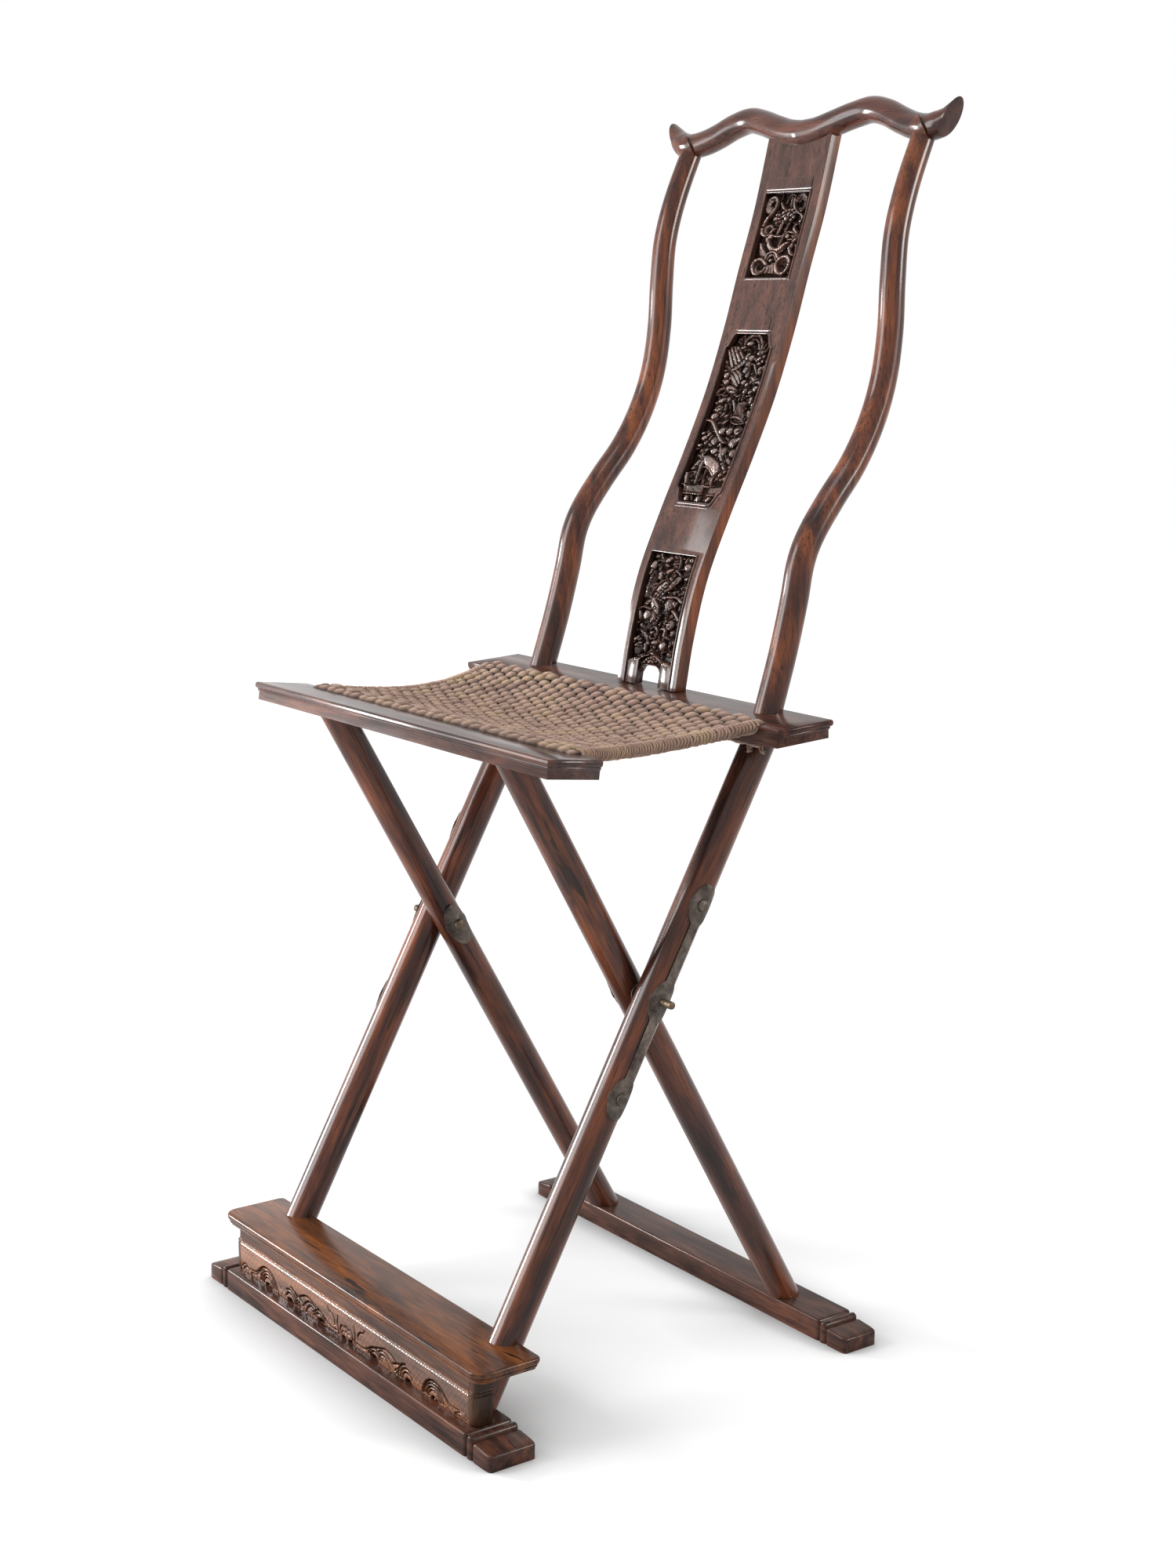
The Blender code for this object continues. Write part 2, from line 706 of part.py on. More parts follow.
def pivot_pin(side, parent):
    """The pin: a plain stub outside the strap, and a riveted head on the inner plate."""
    name = side_name("pivot_pin", side)
    axis = X_AXIS * side
    head_seat = INNER_HALF - INNER_LEG_RADIUS - PLATE_THICK - 2 * FIT_GAP
    tip = OUTER_HALF + OUTER_LEG_RADIUS + FIT_GAP + PLATE_THICK + PIN_OUTER_REACH
    profile = (
        (head_seat - PIN_HEAD_HEIGHT, PIN_HEAD_RADIUS * 0.45),
        (head_seat - PIN_HEAD_HEIGHT * 0.7, PIN_HEAD_RADIUS * 0.85),
        (head_seat - PIN_HEAD_HEIGHT * 0.2, PIN_HEAD_RADIUS),
        (head_seat, PIN_HEAD_RADIUS),
        (head_seat, PIN_RADIUS),
        (tip - PIN_RADIUS * 0.4, PIN_RADIUS),
        (tip, PIN_RADIUS * 0.6),
    )
    return turned(name, Vector(), axis, profile, parent, iron(name))


def pin_bore(name, side, parent):
    axis = X_AXIS * side
    start = INNER_HALF - INNER_LEG_RADIUS - PLATE_THICK - CUT_OVERRUN
    end = OUTER_HALF + OUTER_LEG_RADIUS + PLATE_THICK + CUT_OVERRUN
    radius = PIN_RADIUS + FIT_GAP
    return turned(name, Vector(), axis, ((start, radius), (end, radius)), parent)


def washer(side, parent):
    """The iron washer that keeps the two legs of a crossing apart."""
    name = side_name("pivot_washer", side)
    start = INNER_HALF + INNER_LEG_RADIUS + FIT_GAP
    end = start + WASHER_THICK
    profile = ((start, WASHER_RADIUS), (end, WASHER_RADIUS))
    return turned(name, Vector(), X_AXIS * side, profile, parent, iron(name), ROUND_SIDES)


def strap_nail(end, side, parent):
    """A domed nail near one end of a strap, and the cutter for its shank."""
    name = side_name("strap_nail_" + end, side)
    along = STRAP_NAIL_REACH if end == "upper" else -STRAP_NAIL_REACH
    origin = Vector((side * OUTER_HALF, 0.0, 0.0)) + OUTER_AXIS * along
    seat = OUTER_LEG_RADIUS + FIT_GAP + PLATE_THICK + FIT_GAP
    nail = (
        (seat - NAIL_SHANK_LENGTH, NAIL_SHANK_RADIUS * 0.3),
        (seat - NAIL_SHANK_LENGTH * 0.7, NAIL_SHANK_RADIUS),
        (seat, NAIL_SHANK_RADIUS),
        (seat, NAIL_HEAD_RADIUS),
        (seat + NAIL_HEAD_HEIGHT * 0.35, NAIL_HEAD_RADIUS * 0.94),
        (seat + NAIL_HEAD_HEIGHT * 0.75, NAIL_HEAD_RADIUS * 0.62),
        (seat + NAIL_HEAD_HEIGHT, NAIL_HEAD_RADIUS * 0.22),
    )
    turned(name, origin, X_AXIS * side, nail, parent, iron(name))
    radius = NAIL_SHANK_RADIUS + FIT_GAP
    hole = ((seat - NAIL_SHANK_LENGTH - FIT_GAP, radius), (seat + CUT_OVERRUN, radius))
    return turned(name + "_hole", origin, X_AXIS * side, hole, parent)


def post_foot():
    """Where the middle of a post's foot stands on the rear rail, and its height."""
    setback = leg_setback(REAR_RAIL_HEIGHT, OUTER_LEG_LEAN)
    across = (setback - REAR_RAIL.centre.y) / math.cos(REAR_RAIL_TILT)
    return REAR_RAIL.place(0.0, across, 0.0)


def post_point(share):
    """A post's axis at a share of its rise, from foot to crest rail."""
    foot = post_foot()
    half = POST_FOOT_SPACING / 2 + (POST_HEAD_SPACING - POST_FOOT_SPACING) / 2 * share
    setback = foot.y + POST_RAKE * shares_value(POST_CURVE_SHARES, share)
    return Vector((half, setback, foot.z + POST_RISE * share))


def crest_point(share):
    """The crest rail's axis at a share of its half length, on the +X side."""
    head = post_point(1.0)
    place = abs(share)
    rise = CREST_WAVE * shares_value(CREST_WAVE_SHARES, place)
    bow = CREST_BOW * (shares_value(CREST_BOW_SHARES, place) - CREST_BOW_SHARES[-2][1])
    return Vector((CREST_LENGTH / 2 * share, head.y + bow, head.z + rise))


def crest_rings(extra):
    """Round sections along the crest rail, with slanted cuts at its two tips."""
    rings = []
    for k in range(CREST_STEPS + 1):
        share = -1.0 + 2.0 * k / CREST_STEPS
        step = 0.5 / CREST_STEPS
        ahead = crest_point(min(share + step, 1.0))
        behind = crest_point(max(share - step, -1.0))
        along = (ahead - behind).normalized()
        if abs(share) > 1.0 - step:
            along = Vector((math.cos(CREST_END_SLANT), 0.0, -math.copysign(math.sin(CREST_END_SLANT), share)))
        fore = along.cross(Z_AXIS).normalized()
        up = fore.cross(along).normalized()
        flare = max(abs(share) - 0.9, 0.0) / (1.0 - 0.9)
        radius = CREST_RADIUS + (CREST_END_RADIUS - CREST_RADIUS) * flare + extra
        rings.append(circle(crest_point(share), radius, fore, up, ROUND_SIDES))
    return rings


def post_head_tenon(name, side, extra, parent):
    head = post_point(1.0)
    low = -CREST_RADIUS - FIT_GAP * 4
    radius = POST_HEAD_TENON_RADIUS + extra
    profile = ((low, radius), (POST_HEAD_TENON_RISE - CREST_RADIUS + extra, radius))
    origin = Vector((side * head.x, head.y, head.z))
    return turned(name, origin, Z_AXIS, profile, parent)


def back_post(side, crest_cutter, parent):
    """A gooseneck post: a tenon in the rear rail, a coped head under the crest rail."""
    name = side_name("back_post", side)
    normal = REAR_RAIL.normal
    foot = post_foot()
    start_axis = (post_point(0.03) - post_point(0.0)).normalized()
    shoulder = foot + normal * FIT_GAP
    bottom = foot - normal * POST_TENON_DEPTH
    rings = []
    levels = ((POST_TENON_RADIUS, bottom), (POST_TENON_RADIUS, shoulder), (POST_FOOT_RADIUS, shoulder))
    for radius, plane in levels:
        origin = post_point(0.0)
        rings.append(slanted_ring(origin, start_axis, radius, plane, normal, ROUND_SIDES))
    for k in range(1, POST_STEPS + 1):
        share = k / POST_STEPS
        step = 0.5 / POST_STEPS
        along = (post_point(min(share + step, 1.0)) - post_point(share - step)).normalized()
        radius = POST_FOOT_RADIUS + (POST_HEAD_RADIUS - POST_FOOT_RADIUS) * share**2
        up = along.cross(X_AXIS).normalized()
        across = up.cross(along).normalized()
        rings.append(circle(post_point(share), radius, across, up, ROUND_SIDES))
    if side < 0:
        rings = [[Vector((-p.x, p.y, p.z)) for p in ring] for ring in rings]
    piece = loft(name, rings, parent, wood(name))
    boolean(piece, crest_cutter)
    boolean(piece, post_head_tenon(name + "_head_tenon", side, 0.0, parent), "UNION")
    return piece


def post_foot_socket(side, parent):
    normal = REAR_RAIL.normal
    foot = post_foot()
    start_axis = (post_point(0.03) - post_point(0.0)).normalized()
    origin = post_point(0.0)
    origin.x *= side
    axis = Vector((start_axis.x * side, start_axis.y, start_axis.z))
    radius = POST_TENON_RADIUS + FIT_GAP
    planes = (foot - normal * (POST_TENON_DEPTH + FIT_GAP), foot + normal * CUT_OVERRUN)
    rings = [slanted_ring(origin, axis, radius, plane, normal, ROUND_SIDES) for plane in planes]
    return loft(side_name("back_post", side) + "_foot_socket", rings, parent)


def splat_foot_front():
    """Where the splat's front face stands on the rear rail, just before the posts."""
    return post_foot().y - SPLAT_FOOT_STEP


def splat_rake():
    """How far back the splat leans, from the rail to its lap on the crest rail."""
    return crest_point(0.0).y - SPLAT_HEAD_LAP - splat_foot_front()


def splat_base():
    """The height, from the pivot, at which the splat stands on the rear rail."""
    across = (splat_foot_front() + SPLAT_THICK / 2 - REAR_RAIL.centre.y) / math.cos(REAR_RAIL_TILT)
    return REAR_RAIL.place(0.0, across, 0.0).z


def rail_top_cutter(parent):
    """A block below the rear rail's top face, a fit gap above it, to trim feet with."""
    half = SPLAT_FOOT_WIDTH / 2 + CUT_OVERRUN
    centre = (splat_foot_front() + SPLAT_THICK / 2 - REAR_RAIL.centre.y) / math.cos(REAR_RAIL_TILT)
    rings = []
    for across in (centre - SPLAT_THICK, centre + SPLAT_THICK):
        corners = ((-half, SPLAT_TENON_DEPTH), (half, SPLAT_TENON_DEPTH), (half, -FIT_GAP), (-half, -FIT_GAP))
        rings.append([REAR_RAIL.place(x, across, depth) for x, depth in corners])
    return loft("rail_top_cutter", rings, parent, smooth=False)


def splat_rise():
    return crest_point(0.0).z - splat_base()


def splat_front(z):
    """The splat's front face at a height from the pivot."""
    share = min(max((z - splat_base()) / splat_rise(), 0.0), 1.0)
    return splat_foot_front() + splat_rake() * shares_value(SPLAT_CURVE_SHARES, share)


def splat_slab(name, low, high, half_width_at, front_inset, thick, parent, material=None):
    """A slab that follows the splat's curve, with its half width given by height."""
    heights = {low, high}
    steps = max(2, math.ceil(SPLAT_STEPS * (high - low) / splat_rise()))
    for k in range(1, steps):
        heights.add(low + (high - low) * k / steps)
    rings = []
    for z in sorted(heights):
        half = half_width_at(z)
        front = splat_front(z) + front_inset
        back = front + thick
        corners = ((-half, front), (half, front), (half, back), (-half, back))
        rings.append([Vector((x, y, z)) for x, y in corners])
    return loft(name, rings, parent, material, smooth=False)


def splat_half_width(z):
    share = (z - splat_base()) / splat_rise()
    return (SPLAT_FOOT_WIDTH + (SPLAT_HEAD_WIDTH - SPLAT_FOOT_WIDTH) * share) / 2


def top_panel_width(z):
    return TOP_PANEL_HALF_WIDTH


def bottom_panel_width(z):
    return BOTTOM_PANEL_HALF_WIDTH


def bottom_panel_head():
    return splat_base() + BOTTOM_PANEL_HEIGHT


def splat_plain_height():
    """What the three panels leave of the splat's height, shared out between and above them."""
    return splat_rise() - TOP_PANEL_HEIGHT - MIDDLE_PANEL_HEIGHT - BOTTOM_PANEL_HEIGHT


def middle_panel_span():
    sill = bottom_panel_head() + splat_plain_height() * LOWER_CROSS_SHARE
    return sill, sill + MIDDLE_PANEL_HEIGHT


def top_panel_span():
    sill = middle_panel_span()[1] + splat_plain_height() * UPPER_CROSS_SHARE
    return sill, sill + TOP_PANEL_HEIGHT


def middle_panel_width(z):
    """Half width of the middle panel, whose four corners are cut back."""
    sill, head = middle_panel_span()
    edge = min(z - sill, head - z)
    cut = MIDDLE_PANEL_CHAMFER * max(0.0, 1.0 - max(edge, 0.0) / MIDDLE_PANEL_CHAMFER_RISE)
    return MIDDLE_PANEL_HALF_WIDTH - cut


def panel_spans():
    bottom_low = splat_base() - SPLAT_TENON_DEPTH / 2
    return (
        ("splat_panel_top", *top_panel_span(), top_panel_width),
        ("splat_panel_middle", *middle_panel_span(), middle_panel_width),
        ("splat_panel_bottom", bottom_low, bottom_panel_head(), bottom_panel_width),
    )


def splat(crest_cutter, rear_rail, crest, parent):
    """The S-curved splat with its windows, and the three panels let into them."""
    low = splat_base() - SPLAT_TENON_DEPTH / 2
    high = crest_point(0.0).z
    foot_cutter = rail_top_cutter(parent)
    material = dark_wood("splat_board")
    board = splat_slab("splat_board", low, high, splat_half_width, 0.0, SPLAT_THICK, parent, material)
    for name, sill, head, width in panel_spans():
        foot = sill - CUT_OVERRUN if name == "splat_panel_bottom" else sill - FIT_GAP
        window = splat_slab(
            name + "_window", foot, head + FIT_GAP, lambda z, w=width: w(z) + FIT_GAP,
            -CUT_OVERRUN, SPLAT_THICK + 2 * CUT_OVERRUN, parent,
        )
        boolean(board, window)
        panel = splat_slab(name, sill, head, width, PANEL_RECESS, PANEL_THICK, parent, dark_wood(name))
        if name == "splat_panel_bottom":
            boolean(panel, foot_arch(parent))
            boolean(panel, foot_cutter)
    boolean(board, crest_cutter)
    boolean(board, foot_cutter)

    head_half = SPLAT_HEAD_WIDTH / 2 - SPLAT_TENON_MARGIN
    tenon_front = (SPLAT_THICK - SPLAT_TENON_THICK) / 2
    shoulder = high - CREST_RADIUS
    for extra, target, operation in ((0.0, board, "UNION"), (FIT_GAP, crest, "DIFFERENCE")):
        tenon = splat_slab(
            target.name + "_splat_tenon", shoulder - SPLAT_TENON_DEPTH, shoulder + SPLAT_TENON_DEPTH + extra,
            lambda z, e=extra: head_half + e, tenon_front - extra, SPLAT_TENON_THICK + 2 * extra, parent,
        )
        boolean(target, tenon, operation)

    stile = SPLAT_FOOT_WIDTH / 2 - BOTTOM_PANEL_HALF_WIDTH
    for side in (-1, 1):
        middle = side * (SPLAT_FOOT_WIDTH / 2 - stile / 2)
        for extra, target, operation in ((0.0, board, "UNION"), (FIT_GAP, rear_rail, "DIFFERENCE")):
            half = stile / 4 + extra
            front = splat_foot_front() + tenon_front - extra
            back = front + SPLAT_TENON_THICK + 2 * extra
            levels = (splat_base() - SPLAT_TENON_DEPTH - extra, splat_base() + SPLAT_TENON_DEPTH)
            corners = ((-half, front), (half, front), (half, back), (-half, back))
            rings = [[Vector((middle + dx, y, z)) for dx, y in corners] for z in levels]
            tenon = loft(side_name(target.name + "_stile_tenon", side), rings, parent, smooth=False)
            boolean(target, tenon, operation)
    return board


def foot_arch(parent):
    """The pointed arch between the two little feet of the bottom panel."""
    low = splat_base() - CUT_OVERRUN
    arch_foot = splat_base()
    outline = (
        (low, 1.0), (arch_foot + ARCH_RISE * 0.6, 1.0),
        (arch_foot + ARCH_RISE * 0.88, 0.8), (arch_foot + ARCH_RISE, 0.5),
    )
    rings = []
    for z, share in outline:
        half = ARCH_HALF_WIDTH * share
        front = splat_front(z) - CUT_OVERRUN
        back = front + SPLAT_THICK + 2 * CUT_OVERRUN
        corners = ((-half, front), (half, front), (half, back), (-half, back))
        rings.append([Vector((x, y, z)) for x, y in corners])
    return loft("foot_arch", rings, parent, smooth=False)


def seat_weave(parent):
    """The corded seat as a plain slab that sags between the rebates of the rails."""
    front_edge = FRONT_RAIL.place(0.0, FRONT_RAIL.width / 2 - REBATE_WIDTH + FIT_GAP, REBATE_DEPTH - FIT_GAP)
    front_lip = FRONT_RAIL.place(0.0, FRONT_RAIL.width / 2, REBATE_DEPTH - FIT_GAP)
    rear_lip = REAR_RAIL.place(0.0, -REAR_RAIL.width / 2, REBATE_DEPTH - FIT_GAP)
    rear_edge = REAR_RAIL.place(0.0, -REAR_RAIL.width / 2 + REBATE_WIDTH - FIT_GAP, REBATE_DEPTH - FIT_GAP)
    half = SEAT_RAIL_LENGTH / 2 - REBATE_END_MARGIN - FIT_GAP
    stations = [(front_edge, FRONT_RAIL.normal, 0.0)]
    for k in range(WEAVE_STEPS + 1):
        share = k / WEAVE_STEPS
        normal = FRONT_RAIL.normal.lerp(REAR_RAIL.normal, share)
        stations.append((front_lip.lerp(rear_lip, share), normal, math.sin(math.pi * share)))
    stations.append((rear_edge, REAR_RAIL.normal, 0.0))
    columns = (-1.0, -0.75, -0.4, 0.0, 0.4, 0.75, 1.0)
    rings = []
    for middle, normal, hang in stations:
        reach = half - WEAVE_WAIST * hang
        lower = []
        for column in columns:
            drop = hang * (WEAVE_SAG + (WEAVE_EDGE_SAG - WEAVE_SAG) * column**2)
            lower.append(middle + Vector((reach * column, 0.0, -drop)))
        upper = [point + normal * WEAVE_THICK for point in lower]
        rings.append(lower + upper[::-1])
    return loft("seat_weave", rings, parent, cord("seat_weave"))


def lacing_run(name, rail, inner_sign, start, end, parent):
    """A run of the cord that laces the seat, lying along the underside of a rail."""
    across = (rail.width / 2 - LACING_EDGE_OFFSET) * inner_sign
    middle = rail.place(0.0, across, SEAT_RAIL_THICK + FIT_GAP + LACING_RADIUS)
    profile = ((start, LACING_RADIUS), (end, LACING_RADIUS))
    turned(name, middle, X_AXIS, profile, parent, cord(name), sides=8)


def seat_lacing(front_parent, rear_parent):
    """The lacing under both rails; under the front one the legs part it in three."""
    half = SEAT_RAIL_LENGTH / 2 - REBATE_END_MARGIN
    near_leg = INNER_HALF - INNER_LEG_RADIUS - LACING_RADIUS
    past_leg = INNER_HALF + INNER_LEG_RADIUS + LACING_RADIUS
    lacing_run("seat_lacing_front_left", FRONT_RAIL, 1, -half, -past_leg, front_parent)
    lacing_run("seat_lacing_front_middle", FRONT_RAIL, 1, -near_leg, near_leg, front_parent)
    lacing_run("seat_lacing_front_right", FRONT_RAIL, 1, past_leg, half, front_parent)
    lacing_run("seat_lacing_rear", REAR_RAIL, -1, -half, half, rear_parent)


def stand_on_floor(root):
    """Moves the chair so that the middle of its footprint is over the origin."""
    bpy.context.view_layer.update()
    low = math.inf
    high = -math.inf
    for piece in bpy.data.objects:
        if piece.type != "MESH" or piece.hide_render:
            continue
        for corner in piece.bound_box:
            y = (piece.matrix_world @ Vector(corner)).y
            low = min(low, y)
            high = max(high, y)
    root.location.y = -(low + high) / 2


def build():
    clear_scene()
    chair = make_empty("chair")
    outer_frame = make_empty("outer_frame", chair)
    inner_frame = make_empty("inner_frame", chair)
    outer_frame.location.z = PIVOT_HEIGHT
    inner_frame.location.z = PIVOT_HEIGHT

    front_rail = seat_rail("front_seat_rail", FRONT_RAIL, 1, inner_frame)
    rear_rail = seat_rail("rear_seat_rail", REAR_RAIL, -1, outer_frame)
    rear_base = base_rail("rear_base_rail", rear_base_setback(), REAR_BASE_WIDTH, inner_frame)
    front_base = base_rail("front_base_rail", front_base_setback(), FRONT_BASE_WIDTH, outer_frame)
    base_top = at(0.0, 0.0, BASE_RAIL_HEIGHT)
    inner_legs = legs(
        inner_frame, "leg_inner", INNER_HALF, INNER_AXIS, INNER_LEG_RADIUS,
        FRONT_RAIL, base_top, front_rail, rear_base,
    )
    outer_legs = legs(
        outer_frame, "leg_outer", OUTER_HALF, OUTER_AXIS, OUTER_LEG_RADIUS,
        REAR_RAIL, base_top, rear_rail, front_base,
    )
    footrest_board(outer_frame)
    footrest_apron(outer_frame)

    for side in (-1, 1):
        footrest_return(side, outer_frame)
        bore = pin_bore(side_name("pin_bore", side), side, outer_frame)
        strap_piece = strap(side, outer_frame)
        plate_piece = inner_plate(side, inner_frame)
        washer_piece = washer(side, outer_frame)
        nail_holes = [strap_nail(end, side, outer_frame) for end in ("upper", "lower")]
        pivot_pin(side, outer_frame)
        for piece in (inner_legs[side], outer_legs[side], strap_piece, plate_piece, washer_piece):
            boolean(piece, bore)
        for hole in nail_holes:
            boolean(outer_legs[side], hole)
            boolean(strap_piece, hole)

    crest = loft("crest_rail", crest_rings(0.0), outer_frame, wood("crest_rail"))
    crest_cutter = loft("crest_cutter", crest_rings(FIT_GAP), outer_frame)
    for side in (-1, 1):
        back_post(side, crest_cutter, outer_frame)
        boolean(rear_rail, post_foot_socket(side, outer_frame))
        socket_name = side_name("crest_post_socket", side)
        boolean(crest, post_head_tenon(socket_name, side, FIT_GAP, outer_frame))
    splat(crest_cutter, rear_rail, crest, outer_frame)

    seat_weave(inner_frame)
    seat_lacing(inner_frame, outer_frame)
    boolean(front_rail, lacing_holes(FRONT_RAIL, 1, INNER_HALF, INNER_LEG_RADIUS, inner_frame))
    boolean(rear_rail, lacing_holes(REAR_RAIL, -1, OUTER_HALF, OUTER_LEG_RADIUS, outer_frame))
    stand_on_floor(chair)


build()
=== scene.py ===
import math
import random

import bmesh
import bpy
import numpy as np
from mathutils import Matrix, Vector


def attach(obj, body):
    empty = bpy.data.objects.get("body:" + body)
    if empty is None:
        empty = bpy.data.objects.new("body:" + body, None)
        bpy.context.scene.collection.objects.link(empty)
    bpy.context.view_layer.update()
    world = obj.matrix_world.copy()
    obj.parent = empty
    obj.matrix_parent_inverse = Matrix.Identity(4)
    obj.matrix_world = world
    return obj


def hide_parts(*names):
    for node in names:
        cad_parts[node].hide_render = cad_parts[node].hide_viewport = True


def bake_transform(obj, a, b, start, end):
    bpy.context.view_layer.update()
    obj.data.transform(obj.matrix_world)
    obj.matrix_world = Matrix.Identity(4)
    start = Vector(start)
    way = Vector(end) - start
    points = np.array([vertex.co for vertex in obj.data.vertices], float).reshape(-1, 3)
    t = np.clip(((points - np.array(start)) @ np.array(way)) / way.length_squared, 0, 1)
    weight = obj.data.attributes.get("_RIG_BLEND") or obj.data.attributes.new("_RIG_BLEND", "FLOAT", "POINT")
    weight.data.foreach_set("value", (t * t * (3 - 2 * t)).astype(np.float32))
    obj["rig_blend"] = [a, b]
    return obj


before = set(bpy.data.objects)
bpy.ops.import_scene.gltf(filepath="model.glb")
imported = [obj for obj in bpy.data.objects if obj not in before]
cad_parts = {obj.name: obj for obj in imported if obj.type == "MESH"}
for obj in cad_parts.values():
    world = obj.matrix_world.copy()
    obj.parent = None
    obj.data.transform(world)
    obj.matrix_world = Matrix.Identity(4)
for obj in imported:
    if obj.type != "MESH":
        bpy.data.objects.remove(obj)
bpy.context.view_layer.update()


# Studio: a camera at the photograph's place, four soft boxes, and a pale paper floor in a
# white room. The low tall box on the left draws the long streaks on the round wood, and
# the paper carries a painted contact shadow: an ambient occlusion darkens its colour and
# its glow where the chair comes close to it.
PINS = Vector((0.0, -0.04996, 0.343))
CAMERA_PLACE = (1.6136, -1.1656 + PINS.y, 0.8885)
CAMERA_TURN, CAMERA_DIP, CAMERA_ROLL = (math.radians(angle) for angle in (52.87, 11.07, 1.19))
WHITE = (1.0, 1.0, 1.0, 1.0)
FLOOR_WIDTH = 14.0
PAPER_GLOW = 1.12
SHADE_REACH = 0.10
SHADE_TINT = (0.82, 0.82, 0.82, 1.0)
GLOW_FADE = {"From Min": 0.34, "From Max": 0.80, "To Min": 0.26, "To Max": 1.0}


def added(name, make, **settings):
    """Adds a plain shape, a lamp or a camera with the modeller's own tool, and names it."""
    bpy.ops.object.select_all(action="DESELECT")
    make(**settings)
    piece = bpy.context.object
    piece.name = name
    return piece


def fill(tree, shader, values):
    """Feeds a shader's sockets, each with another socket's link or with a plain value."""
    for name, value in values.items():
        if isinstance(value, bpy.types.NodeSocket):
            tree.links.new(value, shader.inputs[name])
        else:
            shader.inputs[name].default_value = value
    return shader


def node(tree, kind, **inputs):
    """Adds a node to a material and feeds its sockets by their names."""
    return fill(tree, tree.nodes.new(kind), inputs)


def reckoned(tree, way, first, second):
    """A value worked out from two others, such as the larger of them."""
    made = fill(tree, tree.nodes.new("ShaderNodeMath"), {0: first, 1: second})
    made.operation = way
    return made.outputs[0]


def in_view(tree):
    """1 for what the camera sees straight, in a gloss or through glass, else 0."""
    ray = tree.nodes.new("ShaderNodeLightPath").outputs
    seen = reckoned(tree, "MAXIMUM", ray["Is Camera Ray"], ray["Is Glossy Ray"])
    return reckoned(tree, "MAXIMUM", seen, ray["Is Transmission Ray"])


def show_mix(tree, output, share, first, second):
    """Shows one shader turning into another by a share."""
    mix = {0: share, 1: first.outputs[0], 2: second.outputs[0]}
    mix = fill(tree, tree.nodes.new("ShaderNodeMixShader"), mix)
    fill(tree, tree.nodes[output], {"Surface": mix.outputs[0]})


def new_look(name):
    """A new material, its node tree, and the shader that its looks go into."""
    material = bpy.data.materials.new(name)
    material.use_nodes = True
    return material, material.node_tree, material.node_tree.nodes["Principled BSDF"]


def soft_box(name, place, aim, width, height, power, colour=(1.0, 1.0, 1.0)):
    """An area lamp that faces a point of the chair."""
    box = added(name, bpy.ops.object.light_add, type="AREA", location=place)
    box.rotation_euler = (Vector(aim) - Vector(place)).to_track_quat("-Z", "Y").to_euler()
    box.data.shape = "RECTANGLE"
    box.data.size = width
    box.data.size_y = height
    box.data.energy = power
    box.data.color = colour


bpy.context.scene.view_settings.view_transform = "Standard"

ahead = Vector((
    -math.sin(CAMERA_TURN) * math.cos(CAMERA_DIP), math.cos(CAMERA_TURN) * math.cos(CAMERA_DIP),
    -math.sin(CAMERA_DIP),
))
level = Vector((math.cos(CAMERA_TURN), math.sin(CAMERA_TURN), 0.0))
upright = level.cross(ahead)
right = math.cos(CAMERA_ROLL) * level + math.sin(CAMERA_ROLL) * upright
top = math.cos(CAMERA_ROLL) * upright - math.sin(CAMERA_ROLL) * level
camera = added("Camera", bpy.ops.object.camera_add, location=CAMERA_PLACE)
camera.rotation_euler = Matrix((right, top, -ahead)).transposed().to_euler()
camera.data.lens = 52.5
camera.data.sensor_width = 36.0
bpy.context.scene.camera = camera

soft_box("low_box", (-1.75, -1.24, 0.60), (0.0, 0.0, 0.55), 0.50, 0.85, 60.0)
soft_box("left_box", (-1.08, -2.13, 1.25), (0.0, 0.0, 0.6), 1.10, 1.90, 70.0)
soft_box("right_box", (2.1, 1.5, 1.38), (0.1, 0.0, 0.9), 0.85, 0.60, 40.0, (1.0, 0.97, 0.93))
soft_box("top_box", (0.3, -0.2, 2.9), (0.0, 0.0, 0.4), 1.6, 1.6, 32.0)

world = bpy.data.worlds.new("studio")
bpy.context.scene.world = world
world.use_nodes = True
room = world.node_tree
dim = fill(room, room.nodes["Background"], {"Color": (0.80, 0.82, 0.85, 1.0), "Strength": 0.42})
show_mix(room, "World Output", in_view(room), dim, node(room, "ShaderNodeBackground", Color=WHITE))

floor = added("floor", bpy.ops.mesh.primitive_plane_add, size=FLOOR_WIDTH, location=(0.0, 0.0, 0.0))
paper, paper_tree, matt = new_look("floor_paper")
# Painted contact shadow: the ambient occlusion darkens the paper's colour and the glow that the camera sees.
painted_contact_shadow = node(paper_tree, "ShaderNodeAmbientOcclusion", Distance=SHADE_REACH, Color=SHADE_TINT)
painted_contact_shadow.samples = 12
fill(paper_tree, matt, {"Base Color": painted_contact_shadow.outputs["Color"], "Roughness": 0.9, "Specular IOR Level": 0.1})
shadowed_glow = node(paper_tree, "ShaderNodeEmission", Color=painted_contact_shadow.outputs["AO"], Strength=PAPER_GLOW)
away = node(paper_tree, "ShaderNodeVectorMath")
away.operation = "LENGTH"
fill(paper_tree, away, {0: node(paper_tree, "ShaderNodeTexCoord").outputs["Object"]})
fade = node(paper_tree, "ShaderNodeMapRange", Value=away.outputs["Value"], **GLOW_FADE)
fade.interpolation_type = "SMOOTHSTEP"
glow_share = reckoned(paper_tree, "MULTIPLY", in_view(paper_tree), fade.outputs["Result"])
show_mix(paper_tree, "Material Output", glow_share, matt, shadowed_glow)
floor.data.materials.append(paper)


# Crest rail: a round hardwood rod carved in a yoke's double wave, bowed back in the
# middle, its ends cut at a slant. The posts and the splat are tenoned into it.
def tint(colour):
    """A colour as a shader takes it, from one read off a picture or from a grey's value."""
    if isinstance(colour, float):
        return (colour, colour, colour, 1.0)
    parts = [part / 255.0 for part in colour]
    return (*(s / 12.92 if s <= 0.04045 else ((s + 0.055) / 1.055) ** 2.4 for s in parts), 1.0)


